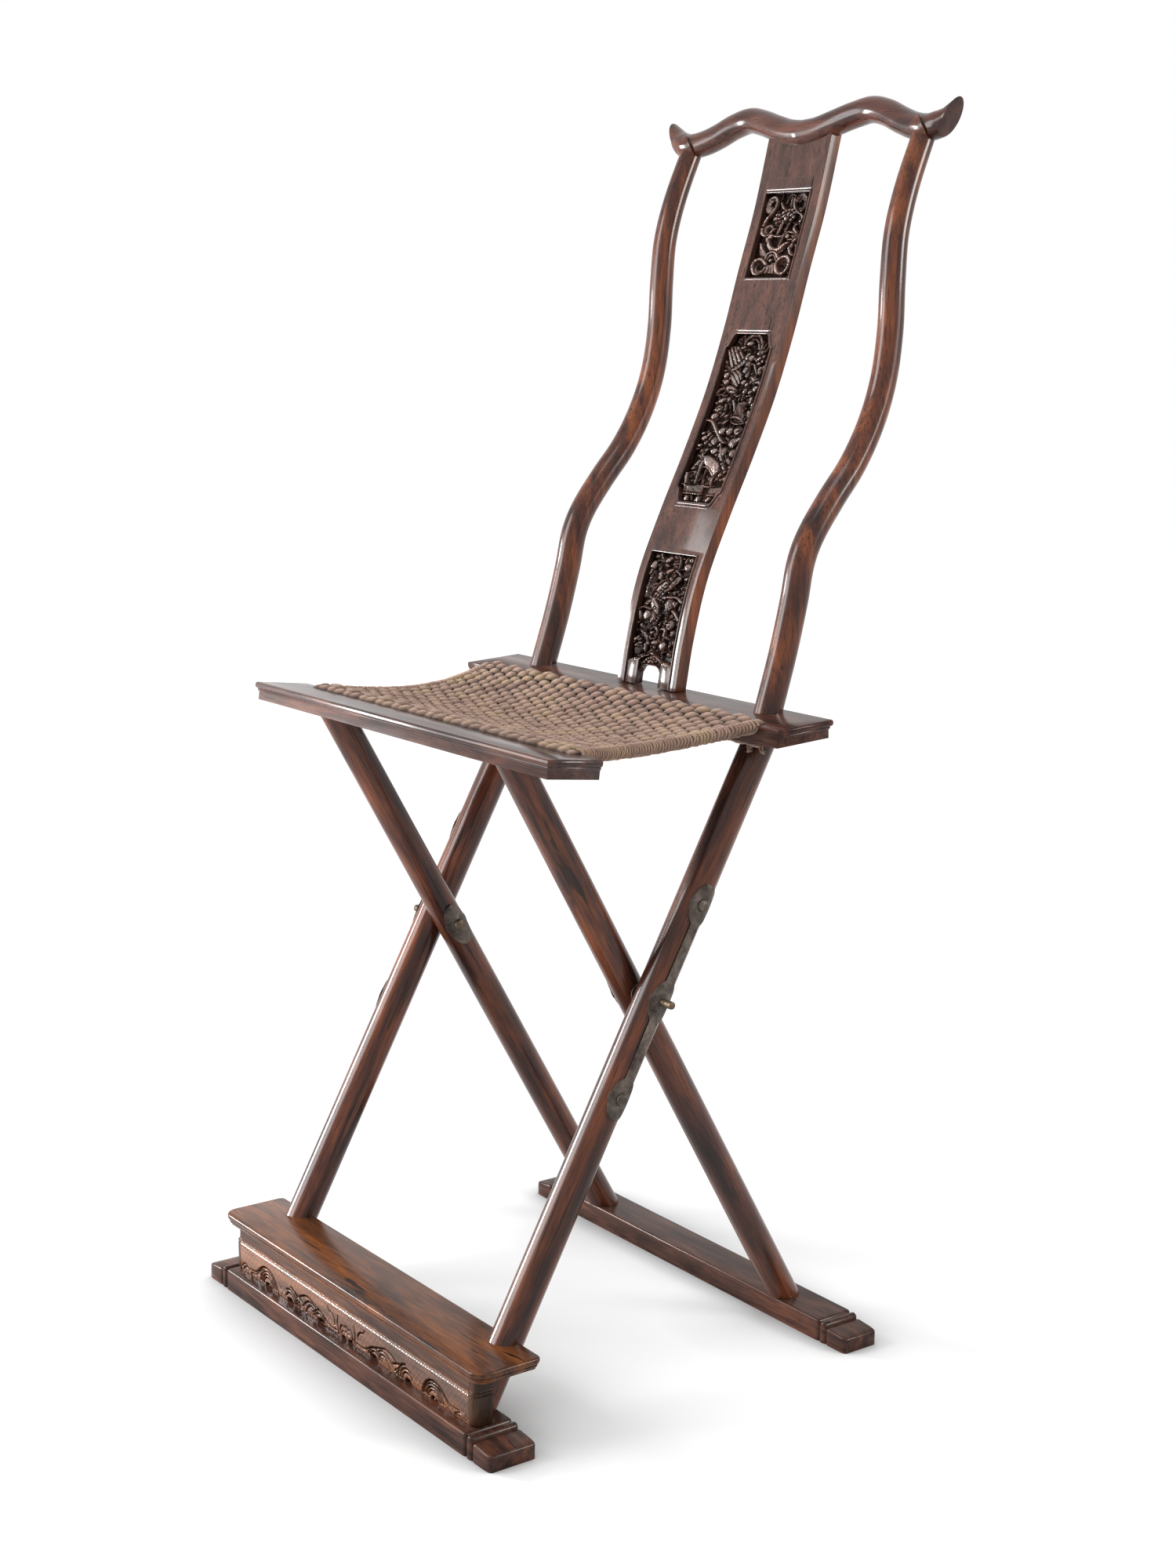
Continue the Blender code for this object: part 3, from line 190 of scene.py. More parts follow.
def ramp(tree, source, *stops):
    """A colour that follows a value, with its stops as (place, colour)."""
    made = node(tree, "ShaderNodeValToRGB", Fac=source)
    bar = made.color_ramp.elements
    for k in (0, -1):
        bar[k].position = stops[k][0]
        bar[k].color = tint(stops[k][1])
    for place, colour in stops[1:-1]:
        bar.new(place).color = tint(colour)
    return made.outputs[0]


def mixed(tree, share, first, second, way="MIX"):
    """Two colours mixed by a share."""
    made = tree.nodes.new("ShaderNodeMix")
    made.data_type = "RGBA"
    made.blend_type = way
    return fill(tree, made, {0: share, 6: first, 7: second}).outputs[2]


def marked(tree, name):
    """A value that a mesh carries at its corners."""
    made = tree.nodes.new("ShaderNodeAttribute")
    made.attribute_name = name
    return made.outputs["Fac"]


def polished_wood(name, grain, deep, middle, warm, blotches=0.5, gloss=0.22, carved=False, shine=1.0):
    """Oiled and waxed red hardwood. grain turns the chair's axes so that it runs along X. A carved one has painted
    shade in its hollows and painted light on its tops.
    """
    material, tree, look = new_look(name)
    place = node(tree, "ShaderNodeTexCoord").outputs["Object"]
    turned = node(tree, "ShaderNodeMapping", Vector=place, Rotation=grain).outputs[0]

    def streaks(scale, stretch, detail, shift=0.0):
        size, start = (scale / stretch, scale, scale), (shift, shift, 0.0)
        drawn = node(tree, "ShaderNodeMapping", Vector=turned, Scale=size, Location=start).outputs[0]
        shape = {"Scale": 1.0, "Detail": detail, "Roughness": 0.6, "Distortion": 0.4}
        return node(tree, "ShaderNodeTexNoise", Vector=drawn, **shape).outputs["Fac"]

    clouds, fibres = streaks(20.0, 3.0, 3.0, 3.1), streaks(900.0, 30.0, 2.0, 1.7)
    tone = ramp(tree, streaks(70.0, 7.0, 6.0), (0.34, deep), (0.50, middle), (0.66, warm))
    colour = mixed(tree, 1.0, tone, ramp(tree, clouds, (0.34, 0.66), (0.60, 1.14)), "MULTIPLY")
    lines = ramp(tree, fibres, (0.40, 0.42), (0.55, 1.08))
    colour = mixed(tree, 0.60, colour, mixed(tree, 1.0, colour, lines, "MULTIPLY"))
    dashes = ramp(tree, streaks(300.0, 22.0, 1.0, 4.4), (0.655, 0.0), (0.70, 0.75))
    colour = mixed(tree, dashes, colour, tint((26, 15, 12)))
    stains = ramp(tree, streaks(44.0, 4.2, 4.0, 7.3), (0.635, 0.0), (0.68, 1.0))
    colour = mixed(tree, reckoned(tree, "MULTIPLY", stains, blotches), colour, tint((28, 18, 15)))
    polish = {"Specular IOR Level": 0.20 * shine, "Coat Weight": 0.24 * shine}
    if carved:
        # Painted shade in the carving's hollows and painted light on its tops: the colour follows the relief.
        depth = marked(tree, "relief")
        hollow_shade_top_light = ramp(tree, depth, (0.06, 0.08), (0.45, 0.75), (0.92, 1.75))
        colour = mixed(tree, 1.0, colour, hollow_shade_top_light, "MULTIPLY")
        polish = dict.fromkeys(polish, ramp(tree, depth, (0.35, 0.02), (0.90, 0.85 * shine)))
    swells = streaks(60.0, 3.0, 2.0, 5.2)
    swell = node(tree, "ShaderNodeBump", Height=swells, Strength=0.05, Distance=0.0010).outputs[0]
    bump = node(tree, "ShaderNodeBump", Height=fibres, Strength=0.02, Distance=0.0003, Normal=swell)
    fill(tree, look, {
        **polish, "Base Color": colour, "Normal": bump.outputs[0], "Coat Roughness": 0.09,
        "Roughness": ramp(tree, clouds, (0.30, gloss * 1.45), (0.65, gloss * 0.85)),
    })
    return material


DEEP_RED = (44, 24, 20)
ALONG_X = (0.0, 0.0, 0.0)
ALONG_Z = (0.0, math.radians(90.0), 0.0)

CREST_HALF = 0.184
CREST_RADIUS = 0.0118
CREST_TIP_RADIUS = 0.0102
CREST_WAVE = 0.0200
CREST_BOW = 0.0085
CREST_SLANT = math.radians(27.0)
CREST_OVERRUN = 0.014
CREST_END_RISE = 0.008
CREST_WAVE_SHARES = (
    (0.00, 0.18), (0.103, 0.28), (0.206, 0.51), (0.33, 0.82), (0.444, 1.00),
    (0.557, 0.80), (0.671, 0.40), (0.774, 0.11), (0.873, 0.00), (0.94, 0.12),
    (1.00, 0.36),
)
CREST_BOW_SHARES = (
    (0.00, 0.00), (0.206, 0.35), (0.444, 1.00), (0.671, 0.60), (0.87, 0.10),
    (1.00, 0.45),
)
POST_CURVE_SHARES = (
    (0.00, 0.000), (0.10, 0.092), (0.19, 0.160), (0.255, 0.200), (0.30, 0.262),
    (0.36, 0.395), (0.42, 0.545), (0.49, 0.668), (0.565, 0.749), (0.65, 0.787),
    (0.74, 0.793), (0.82, 0.810), (0.90, 0.876), (1.00, 1.000),
)
REAR_RAIL_MIDDLE = Vector((0.0, 0.10903, 0.2328)) + PINS
REAR_RAIL_TURN = Matrix.Rotation(math.radians(4.0), 4, "X")
FRONT_RAIL_MIDDLE = Vector((0.0, -0.12926, 0.2257)) + PINS
FRONT_RAIL_TURN = Matrix.Rotation(math.radians(-6.0), 4, "X")
POST_FOOT = REAR_RAIL_MIDDLE + REAR_RAIL_TURN @ Vector((0.0, 0.01427, 0.0))


def shares_value(shares, place):
    """Smooth value of a table of shares, with slopes taken from its neighbours."""
    last = len(shares) - 1
    k = 0
    while k < last - 1 and place > shares[k + 1][0]:
        k += 1

    def slope(index):
        low, high = max(index - 1, 0), min(index + 1, last)
        return (shares[high][1] - shares[low][1]) / (shares[high][0] - shares[low][0])

    start, first = shares[k]
    end, second = shares[k + 1]
    span = end - start
    t = (place - start) / span
    return (
        (2 * t**3 - 3 * t**2 + 1) * first + (t**3 - 2 * t**2 + t) * span * slope(k)
        + (3 * t**2 - 2 * t**3) * second + (t**3 - t**2) * span * slope(k + 1)
    )


def post_point(share):
    """The middle of the +X post at a share of its rise."""
    return Vector((
        0.1645 - 0.0075 * share,
        POST_FOOT.y + 0.1640 * shares_value(POST_CURVE_SHARES, share),
        POST_FOOT.z + 0.4940 * share,
    ))


def crest_point(share):
    """The middle of the crest rail at a share of its half length."""
    head = post_point(1.0)
    place = abs(share)
    bow = CREST_BOW * (shares_value(CREST_BOW_SHARES, place) - CREST_BOW_SHARES[-2][1])
    rise = CREST_WAVE * shares_value(CREST_WAVE_SHARES, place)
    return Vector((CREST_HALF * share, head.y + bow, head.z + rise))


def close_up(weld=None):
    """Turns a mesh's faces outwards, and first merges corners that lie that close."""
    bpy.ops.object.mode_set(mode="EDIT")
    bpy.ops.mesh.select_all(action="SELECT")
    if weld:
        bpy.ops.mesh.remove_doubles(threshold=weld)
    bpy.ops.mesh.normals_make_consistent(inside=False)
    bpy.ops.object.mode_set(mode="OBJECT")


def rod(name, points, radii, thickness, roundness):
    """A rod bent along points, made as a thick curve and then turned into a mesh."""
    piece = added(name, bpy.ops.curve.primitive_bezier_curve_add)
    curve = piece.data
    curve.splines.remove(curve.splines[0])
    line = curve.splines.new("POLY")
    line.points.add(len(points) - 1)
    for spot, place, radius in zip(line.points, points, radii):
        spot.co = (*place, 1.0)
        spot.radius = radius
    curve.dimensions = "3D"
    curve.bevel_depth = thickness
    curve.bevel_resolution = roundness
    curve.use_fill_caps = True
    bpy.ops.object.convert(target="MESH")
    close_up(0.00001)
    return piece


def trim(*cuts):
    """Cuts off what lies past each plane, given as (place, facing), and closes the cut."""
    bpy.ops.object.mode_set(mode="EDIT")
    for place, facing in cuts:
        bpy.ops.mesh.select_all(action="SELECT")
        bpy.ops.mesh.bisect(plane_co=place, plane_no=facing, use_fill=True, clear_outer=True)
    bpy.ops.object.mode_set(mode="OBJECT")


def soften(piece, width, steps=3, above=35.0):
    """Rounds a piece's sharp arrises, as scraping and years of hands do."""
    bpy.context.view_layer.objects.active = piece
    rounding = piece.modifiers.new("arrises", "BEVEL")
    rounding.width = width
    rounding.segments = steps
    rounding.limit_method = "ANGLE"
    rounding.angle_limit = math.radians(above)
    rounding.harden_normals = False
    bpy.ops.object.modifier_apply(modifier=rounding.name)


def finished(piece, body, material, slot, *stands_for):
    """Gives a piece its finish and body, and hides the solids that it stands for."""
    bpy.ops.object.select_all(action="DESELECT")
    piece.select_set(True)
    bpy.context.view_layer.objects.active = piece
    bpy.ops.object.transform_apply(location=True, rotation=True, scale=True)
    bpy.ops.object.shade_smooth_by_angle(angle=math.radians(32.0))
    piece.data.materials.clear()
    piece.data.materials.append(material)
    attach(piece, body)
    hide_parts(*stands_for)


crest_wood = polished_wood("crest_wood", ALONG_X, DEEP_RED, (72, 41, 33), (94, 56, 43), 0.35)
crest_shares = [k / 90.0 - 1.0 for k in range(181)]
spots = [crest_point(s) for s in crest_shares]
for k, outwards in ((0, -1.0), (-1, 1.0)):
    spots[k].x += outwards * CREST_OVERRUN
    spots[k].z += CREST_END_RISE
tip = CREST_TIP_RADIUS / CREST_RADIUS - 1.0
narrowing = [1.0 + tip * max(0.0, abs(s) - 0.93) / 0.07 for s in crest_shares]
crest = rod("crest_rail_carved", spots, narrowing, CREST_RADIUS, 14)
trim(*(
    (crest_point(side), Vector((side * math.cos(CREST_SLANT), 0.0, -math.sin(CREST_SLANT))))
    for side in (-1.0, 1.0)
))
soften(crest, 0.0016, 4, 40.0)
finished(crest, "back_frame", crest_wood, "hardwood", "crest_rail")


# Back posts: two round gooseneck posts of the same wood, tapering upwards, tenoned in
# the rear seat rail. Each ends in a pointed tongue that laps the front of the crest rail.
ENDS = ((-1.0, "left"), (1.0, "right"))
UP = Vector((0.0, 0.0, 1.0))
POST_RADIUS = 0.0124
POST_HEAD_RADIUS = 0.0103
TONGUE_HALF = 0.0102
TONGUE_THICK = 0.0026


def thicken(piece, thickness, side):
    """Gives a thin sheet its thickness, to both of its sides at 0 and outwards at 1."""
    thick = piece.modifiers.new("thick", "SOLIDIFY")
    thick.thickness = thickness
    thick.offset = side
    bpy.ops.object.modifier_apply(modifier="thick")


post_wood = polished_wood("post_wood", ALONG_Z, DEEP_RED, (80, 43, 30), (120, 66, 38), 0.8)
rear_normal = (REAR_RAIL_TURN @ UP).normalized()
post_shares = [k / 100.0 for k in range(101)]
taper = [1.0] + [1.0 + (POST_HEAD_RADIUS / POST_RADIUS - 1.0) * s**2 for s in post_shares]
for side, end in ENDS:
    spots = [post_point(s) for s in post_shares]
    start = spots[0] - (spots[3] - spots[0]).normalized() * 0.012
    spots = [Vector((side * p.x, p.y, p.z)) for p in [start] + spots]
    post = rod("post_" + end, spots, taper, POST_RADIUS, 12)
    trim((POST_FOOT + rear_normal * 0.0002, -rear_normal))
    finished(post, "back_frame", post_wood, "hardwood", "back_post_" + end)

    grid = {"x_subdivisions": 16, "y_subdivisions": 28, "size": 2.0}
    tongue = added("post_tongue_" + end, bpy.ops.mesh.primitive_grid_add, **grid)
    for corner in tongue.data.vertices:
        climb = (corner.co.y + 1.0) / 2.0
        angle = math.radians(-46.0 + 88.0 * climb)
        wide = TONGUE_HALF * (1.0 - max(0.0, (climb - 0.30) / 0.70) ** 1.5)
        swell = min(1.0, max(0.0, (climb - 0.25) / 0.30))
        proud = 0.0003 + 0.0011 * swell * (1.0 - 0.12 * corner.co.x**2)
        across = post_point(1.0).x * side + corner.co.x * wide
        out = Vector((0.0, -math.cos(angle), math.sin(angle)))
        corner.co = crest_point(across / CREST_HALF) + (CREST_RADIUS + proud) * out
    close_up()
    thicken(tongue, TONGUE_THICK, 0.0)
    soften(tongue, 0.0004, 2, 60.0)
    finished(tongue, "back_frame", post_wood, "hardwood")


# Legs: four straight round poles. Each inner leg runs from the front seat rail back to
# the rear base rail, and each outer leg from the rear seat rail to the front base rail.
INNER_LEAN = math.radians(30.7)
OUTER_LEAN = math.radians(-27.9)
INNER_HALF = 0.1378
OUTER_HALF = 0.168
INNER_RADIUS = 0.0138
OUTER_RADIUS = 0.0145
FLOOR_RAIL_TOP = 0.020
LEG_TENON = 0.0162

front_normal = (FRONT_RAIL_TURN @ UP).normalized()
for stem, lean, half, radius, body, rail_middle, rail_normal in (
    ("inner", INNER_LEAN, INNER_HALF, INNER_RADIUS, "front_frame", FRONT_RAIL_MIDDLE, front_normal),
    ("outer", OUTER_LEAN, OUTER_HALF, OUTER_RADIUS, "back_frame", REAR_RAIL_MIDDLE, rear_normal),
):
    leg_wood = polished_wood(
        "leg_wood_" + stem, (-lean, math.radians(90.0), 0.0), (42, 23, 19), (78, 42, 30), (114, 62, 37), 0.8,
    )
    for side, end in ENDS:
        leg = added(
            "leg_" + stem + "_" + end + "_pole", bpy.ops.mesh.primitive_cylinder_add, vertices=48,
            radius=radius, depth=0.9, location=(side * half, PINS.y, PINS.z), rotation=(lean, 0.0, 0.0),
        )
        bpy.ops.object.transform_apply(location=True, rotation=True, scale=True)
        foot = Vector((0.0, 0.0, FLOOR_RAIL_TOP + 0.0002))
        trim((rail_middle - rail_normal * LEG_TENON, rail_normal), (foot, -UP))
        finished(leg, body, leg_wood, "hardwood", "leg_" + stem + "_" + end)


# Seat rails: two flat hardwood rails with a moulded nosing on three sides. The side
# towards the seat is plain and rebated, so that the corded seat lies in it.
RAIL_HALF_LENGTH = 0.229
RAIL_THICK = 0.0160
FRONT_RAIL_HALF = 0.0270
REAR_RAIL_HALF = 0.0305
REBATE_WIDTH = 0.0100
REBATE_DEPTH = 0.0050
REBATE_HALF_LENGTH = 0.201
RAIL_MOULDING = (
    (0.00000, 0.00190), (0.00025, 0.00110), (0.00070, 0.00060), (0.00150, 0.00018), (0.00280, 0.0),
    (0.00410, 0.00020), (0.00500, 0.00062), (0.00560, 0.00120), (0.00590, 0.00205), (0.00640, 0.00215),
    (0.00700, 0.00190), (0.00760, 0.00210), (0.00830, 0.00270), (0.00900, 0.00300), (0.01600, 0.00300),
)


def block(name, size, place):
    """A plain block of a size, with its middle at a place."""
    piece = added(name, bpy.ops.mesh.primitive_cube_add, size=1.0, location=place)
    piece.scale = size
    bpy.ops.object.transform_apply(location=True, rotation=True, scale=True)
    return piece


def slice_at(spots, facing):
    """Adds a ring of corners to the piece in hand where each plane meets it."""
    bpy.ops.object.mode_set(mode="EDIT")
    for spot in spots:
        bpy.ops.mesh.select_all(action="SELECT")
        bpy.ops.mesh.bisect(plane_co=spot, plane_no=facing)
    bpy.ops.object.mode_set(mode="OBJECT")


def inset_at(moulding, place):
    """How far a moulding steps in, at one of its own depths or heights."""
    return next(inset for level, inset in moulding if abs(level - place) < 0.00002)


def cut_away(piece, cutter):
    """Cuts one closed shape out of another, and removes the cutter."""
    bpy.ops.object.select_all(action="DESELECT")
    bpy.context.view_layer.objects.active = piece
    taking = piece.modifiers.new("cut", "BOOLEAN")
    taking.operation = "DIFFERENCE"
    taking.solver = "EXACT"
    taking.object = cutter
    bpy.ops.object.modifier_apply(modifier=taking.name)
    bpy.data.objects.remove(cutter)


for end, middle, tilt, half_width, inner, body, shine in (
    ("front", FRONT_RAIL_MIDDLE, FRONT_RAIL_TURN, FRONT_RAIL_HALF, 1.0, "front_frame", 0.95),
    ("rear", REAR_RAIL_MIDDLE, REAR_RAIL_TURN, REAR_RAIL_HALF, -1.0, "back_frame", 0.35),
):
    wood = polished_wood(end + "_rail_wood", ALONG_X, (44, 28, 25), (72, 45, 38), (98, 62, 49), 0.4, shine=shine)
    size = (2 * RAIL_HALF_LENGTH, 2 * half_width, RAIL_THICK)
    rail = block("rail_" + end + "_moulded", size, (0.0, 0.0, RAIL_THICK / 2))
    slice_at([(0.0, 0.0, RAIL_THICK - depth) for depth, inset in RAIL_MOULDING[1:-1]], UP)
    for corner in rail.data.vertices:
        inset = inset_at(RAIL_MOULDING, RAIL_THICK - corner.co.z)
        corner.co.x -= math.copysign(inset, corner.co.x)
        if corner.co.y * inner < 0.0:
            corner.co.y += inner * inset
    rebate = block(
        "rebate", (2 * REBATE_HALF_LENGTH, REBATE_WIDTH + 0.004, REBATE_DEPTH + 0.004),
        (0.0, inner * (half_width - REBATE_WIDTH / 2 + 0.002), RAIL_THICK - REBATE_DEPTH / 2 + 0.002),
    )
    cut_away(rail, rebate)
    soften(rail, 0.0005, 2, 50.0)
    rail.matrix_world = Matrix.Translation(middle) @ tilt @ Matrix.Translation((0.0, 0.0, -RAIL_THICK))
    finished(rail, body, wood, "hardwood", end + "_seat_rail")


# Base rails: the two rails that stand on the floor. Each has a long plain bar and, at
# both ends, a groove, a small round bead, a second groove and a lower foot.
BASE_HEIGHT = 0.0200
BASE_STATIONS = (
    (0.1975, 0.02000, 0.0), (0.1990, 0.01985, 0.0001), (0.2000, 0.01950, 0.0004), (0.2007, 0.01890, 0.0009),
    (0.2012, 0.01790, 0.0015), (0.2016, 0.01720, 0.0019), (0.2022, 0.01720, 0.0019), (0.2027, 0.01800, 0.0012),
    (0.2036, 0.01895, 0.0005), (0.2049, 0.01960, 0.0001), (0.2065, 0.01985, 0.0), (0.2081, 0.01950, 0.0002),
    (0.2094, 0.01860, 0.0006), (0.2103, 0.01700, 0.0012), (0.2107, 0.01500, 0.0016), (0.2115, 0.01480, 0.0016),
    (0.2119, 0.01560, 0.0010), (0.2128, 0.01600, 0.0006), (0.2150, 0.01600, 0.0004), (0.2280, 0.01480, 0.0004),
    (0.2325, 0.01420, 0.0007), (0.2345, 0.01360, 0.0013), (0.2355, 0.01260, 0.0022), (0.2360, 0.01120, 0.0032),
)


def round_edges(piece, wanted, width, steps, fullness=0.5):
    """Rounds the edges whose two ends a rule accepts."""
    bpy.ops.object.mode_set(mode="EDIT")
    bpy.ops.mesh.select_mode(type="EDGE")
    bpy.ops.mesh.select_all(action="DESELECT")
    shape = bmesh.from_edit_mesh(piece.data)
    for edge in shape.edges:
        if wanted(edge.verts[0].co, edge.verts[1].co):
            edge.select_set(True)
    bmesh.update_edit_mesh(piece.data)
    bpy.ops.mesh.bevel(offset=width, segments=steps, profile=fullness)
    bpy.ops.object.mode_set(mode="OBJECT")


base_wood = polished_wood(
    "base_wood", ALONG_X, (42, 28, 24), (70, 45, 37), (96, 60, 45), 0.7, 0.26, shine=0.5,
)
for end, setback, half_width, body in (
    ("front", -0.18331, 0.0235, "back_frame"), ("rear", 0.19772, 0.0200, "front_frame"),
):
    size = (2 * BASE_STATIONS[-1][0], 2 * half_width, BASE_HEIGHT)
    rail = block("base_" + end + "_moulded", size, (0.0, 0.0, BASE_HEIGHT / 2))
    stations = [x for x, height, inset in BASE_STATIONS[:-1]]
    slice_at([(side * x, 0.0, 0.0) for x in stations for side in (-1.0, 1.0)], (1.0, 0.0, 0.0))
    for corner in rail.data.vertices:
        x, height, inset = min(BASE_STATIONS, key=lambda row: abs(row[0] - abs(corner.co.x)))
        corner.co.y -= math.copysign(inset, corner.co.y)
        if corner.co.z > BASE_HEIGHT / 2:
            corner.co.z = height
    round_edges(
        rail, lambda a, b: min(a.z, b.z) > 0.005 and abs(a.x - b.x) > 0.0001 and a.y * b.y > 0.0,
        0.0021, 5, 0.55,
    )
    rail.location = (0.0, setback + PINS.y, 0.0)
    finished(rail, body, base_wood, "hardwood", end + "_base_rail")


# Footrest board: a thick tread with rounded corners and a bullnose edge, a fine line
# cut round it below. It sits on the apron. It is notched round the two outer legs, but no notches are cut here.
TREAD_FRONT = -0.2040
TREAD_DEPTH = 0.0650
TREAD_HALF = 0.213
TREAD_TOP = 0.073
TREAD_THICK = 0.0105
TREAD_ROUND = {"front": 0.013, "rear": 0.006}
TREAD_MOULDING = (
    (0.00000, 0.00190), (0.00020, 0.00115), (0.00060, 0.00058), (0.00130, 0.00016), (0.00240, 0.0),
    (0.00360, 0.00010), (0.00460, 0.00042), (0.00540, 0.00098), (0.00600, 0.00170), (0.00625, 0.00225),
    (0.00660, 0.00225), (0.00680, 0.00180), (0.00760, 0.00190), (0.00860, 0.00250), (0.00940, 0.00340),
    (0.01050, 0.00360),
)
tread_wood = polished_wood(
    "tread_wood", ALONG_X, (56, 32, 20), (92, 53, 29), (122, 70, 33), 1.0, 0.24, shine=0.75,
)
tread = block("footrest_tread", (2 * TREAD_HALF, TREAD_DEPTH, TREAD_THICK), (0.0, 0.0, TREAD_THICK / 2))
for front in (True, False):
    round_edges(
        tread,
        lambda a, b: abs(a.z - b.z) > 0.009 and abs(a.x) > TREAD_HALF - 0.001 and (a.y < 0.0) == front,
        TREAD_ROUND["front" if front else "rear"], 12,
    )
slice_at([(0.0, 0.0, TREAD_THICK - depth) for depth, inset in TREAD_MOULDING[1:-1]], UP)
for corner in tread.data.vertices:
    inset = inset_at(TREAD_MOULDING, TREAD_THICK - corner.co.z)
    radius = TREAD_ROUND["front" if corner.co.y < 0.0 else "rear"]
    x_hub = max(-TREAD_HALF + radius, min(TREAD_HALF - radius, corner.co.x))
    y_hub = max(-TREAD_DEPTH / 2 + radius, min(TREAD_DEPTH / 2 - radius, corner.co.y))
    outwards = Vector((corner.co.x - x_hub, corner.co.y - y_hub, 0.0))
    if outwards.length > 0.0001:
        corner.co -= outwards.normalized() * inset
tread.location = (0.0, TREAD_FRONT + TREAD_DEPTH / 2 + PINS.y, TREAD_TOP - TREAD_THICK)
finished(tread, "back_frame", tread_wood, "hardwood", "footrest_board")


# Ironwork: on each outer leg a long three-lobed strap, bent to the round of the leg and
# held by two domed nails, with a pin right through both legs and a lobed plate inside.
NAIL_REACH = 0.088
STRAP_HALF = 0.106
PLATE_HALF = 0.022
PLATE_THICK = 0.0014
NAIL = (
    (0.0, 0.0056), (0.0006, 0.0057), (0.0012, 0.0055), (0.0019, 0.0049), (0.0026, 0.0040), (0.0031, 0.0028),
    (0.0034, 0.0014),
)
PIN = (
    (0.1190, 0.0024), (0.1196, 0.0042), (0.1208, 0.0050), (0.1222, 0.0052), (0.1223, 0.0034),
    (0.1960, 0.0034), (0.1968, 0.0031), (0.1972, 0.0022),
)
WASHER = ((0.1519, 0.0088), (0.1521, 0.0090), (0.1530, 0.0090), (0.1532, 0.0088))


def wrought_iron(name, base, worn):
    """Old hand-forged iron, brown-grey, dull in the hollows and rubbed on the heights."""
    material, tree, look = new_look(name)
    place = node(tree, "ShaderNodeTexCoord").outputs["Object"]
    rough = node(tree, "ShaderNodeTexNoise", Vector=place, Scale=260.0, Detail=6.0, Roughness=0.65)
    rough = rough.outputs["Fac"]
    patches = node(tree, "ShaderNodeTexNoise", Vector=place, Scale=70.0, Detail=3.0).outputs["Fac"]
    tone = ramp(tree, patches, (0.35, base), (0.68, worn))
    colour = mixed(tree, 1.0, tone, ramp(tree, rough, (0.35, 0.65), (0.65, 1.15)), "MULTIPLY")
    bump = node(tree, "ShaderNodeBump", Height=rough, Strength=0.5, Distance=0.0005)
    fill(tree, look, {
        "Base Color": colour, "Roughness": ramp(tree, rough, (0.3, 0.62), (0.7, 0.40)),
        "Metallic": 0.75, "Normal": bump.outputs[0],
    })
    return material


def lobe(distance, half_length, half_width):
    share = abs(distance) / half_length
    return half_width * math.sqrt(1.0 - share**2.4) if share < 1.0 else 0.0


def strap_width(along):
    """Half the strap's width: a narrow bar, with a lobe in the middle and at each nail."""
    middles = (-NAIL_REACH, 0.0, NAIL_REACH)
    widest = max(lobe(along - middle, 0.0190, 0.0105) for middle in middles)
    cusp = max(lobe(along - middle, 0.0080, 0.0118) for middle in middles)
    taper = min(1.0, max((STRAP_HALF - abs(along)) / 0.019, 0.0) + 0.25)
    return max(widest, cusp, 0.0042 * taper)


def plate_width(along):
    return max(lobe(along, 0.0220, 0.0108), lobe(along, 0.0080, 0.0125), 0.0025)


def bent_plate(name, x, lean, radius, half_length, width_at, facing, rows):
    """A flat iron plate hammered round a leg, its outline given along the leg."""
    grid = {"x_subdivisions": 20, "y_subdivisions": rows, "size": 2.0}
    plate = added(name, bpy.ops.mesh.primitive_grid_add, **grid)
    along_leg = Vector((0.0, -math.sin(lean), math.cos(lean)))
    across = Vector((facing, 0.0, 0.0))
    fore = along_leg.cross(Vector((1.0, 0.0, 0.0))).normalized()
    for corner in plate.data.vertices:
        along = corner.co.y * half_length
        around = corner.co.x * width_at(along) / radius
        spot = Vector((x, PINS.y, PINS.z)) + along_leg * along
        corner.co = spot + (radius + 0.0003) * (math.cos(around) * across + math.sin(around) * fore)
    close_up()
    bpy.ops.object.mode_set(mode="EDIT")
    shape = bmesh.from_edit_mesh(plate.data)
    shape.faces.ensure_lookup_table()
    if shape.faces[0].normal.dot(across) < 0.0:
        bpy.ops.mesh.flip_normals()
    bpy.ops.object.mode_set(mode="OBJECT")
    thicken(plate, PLATE_THICK, 1.0)
    soften(plate, 0.0004, 2, 60.0)
    return plate


def spun(name, profile, place, axis):
    """A round piece spun from its half profile of (height, radius) about an axis."""
    circle = {"vertices": 32, "radius": profile[0][1], "fill_type": "NGON"}
    piece = added(name, bpy.ops.mesh.primitive_circle_add, **circle)
    bpy.ops.object.mode_set(mode="EDIT")
    bpy.ops.mesh.select_all(action="SELECT")
    for (low, inner), (high, outer) in zip(profile, profile[1:]):
        bpy.ops.mesh.extrude_region_move(TRANSFORM_OT_translate={"value": (0.0, 0.0, high - low)})
        bpy.ops.transform.resize(value=(outer / inner, outer / inner, 1.0))
    bpy.ops.object.mode_set(mode="OBJECT")
    close_up()
    piece.rotation_euler = Vector(axis).to_track_quat("Z", "Y").to_euler()
    piece.location = Vector(place) + Vector(axis) * profile[0][0]
    return piece


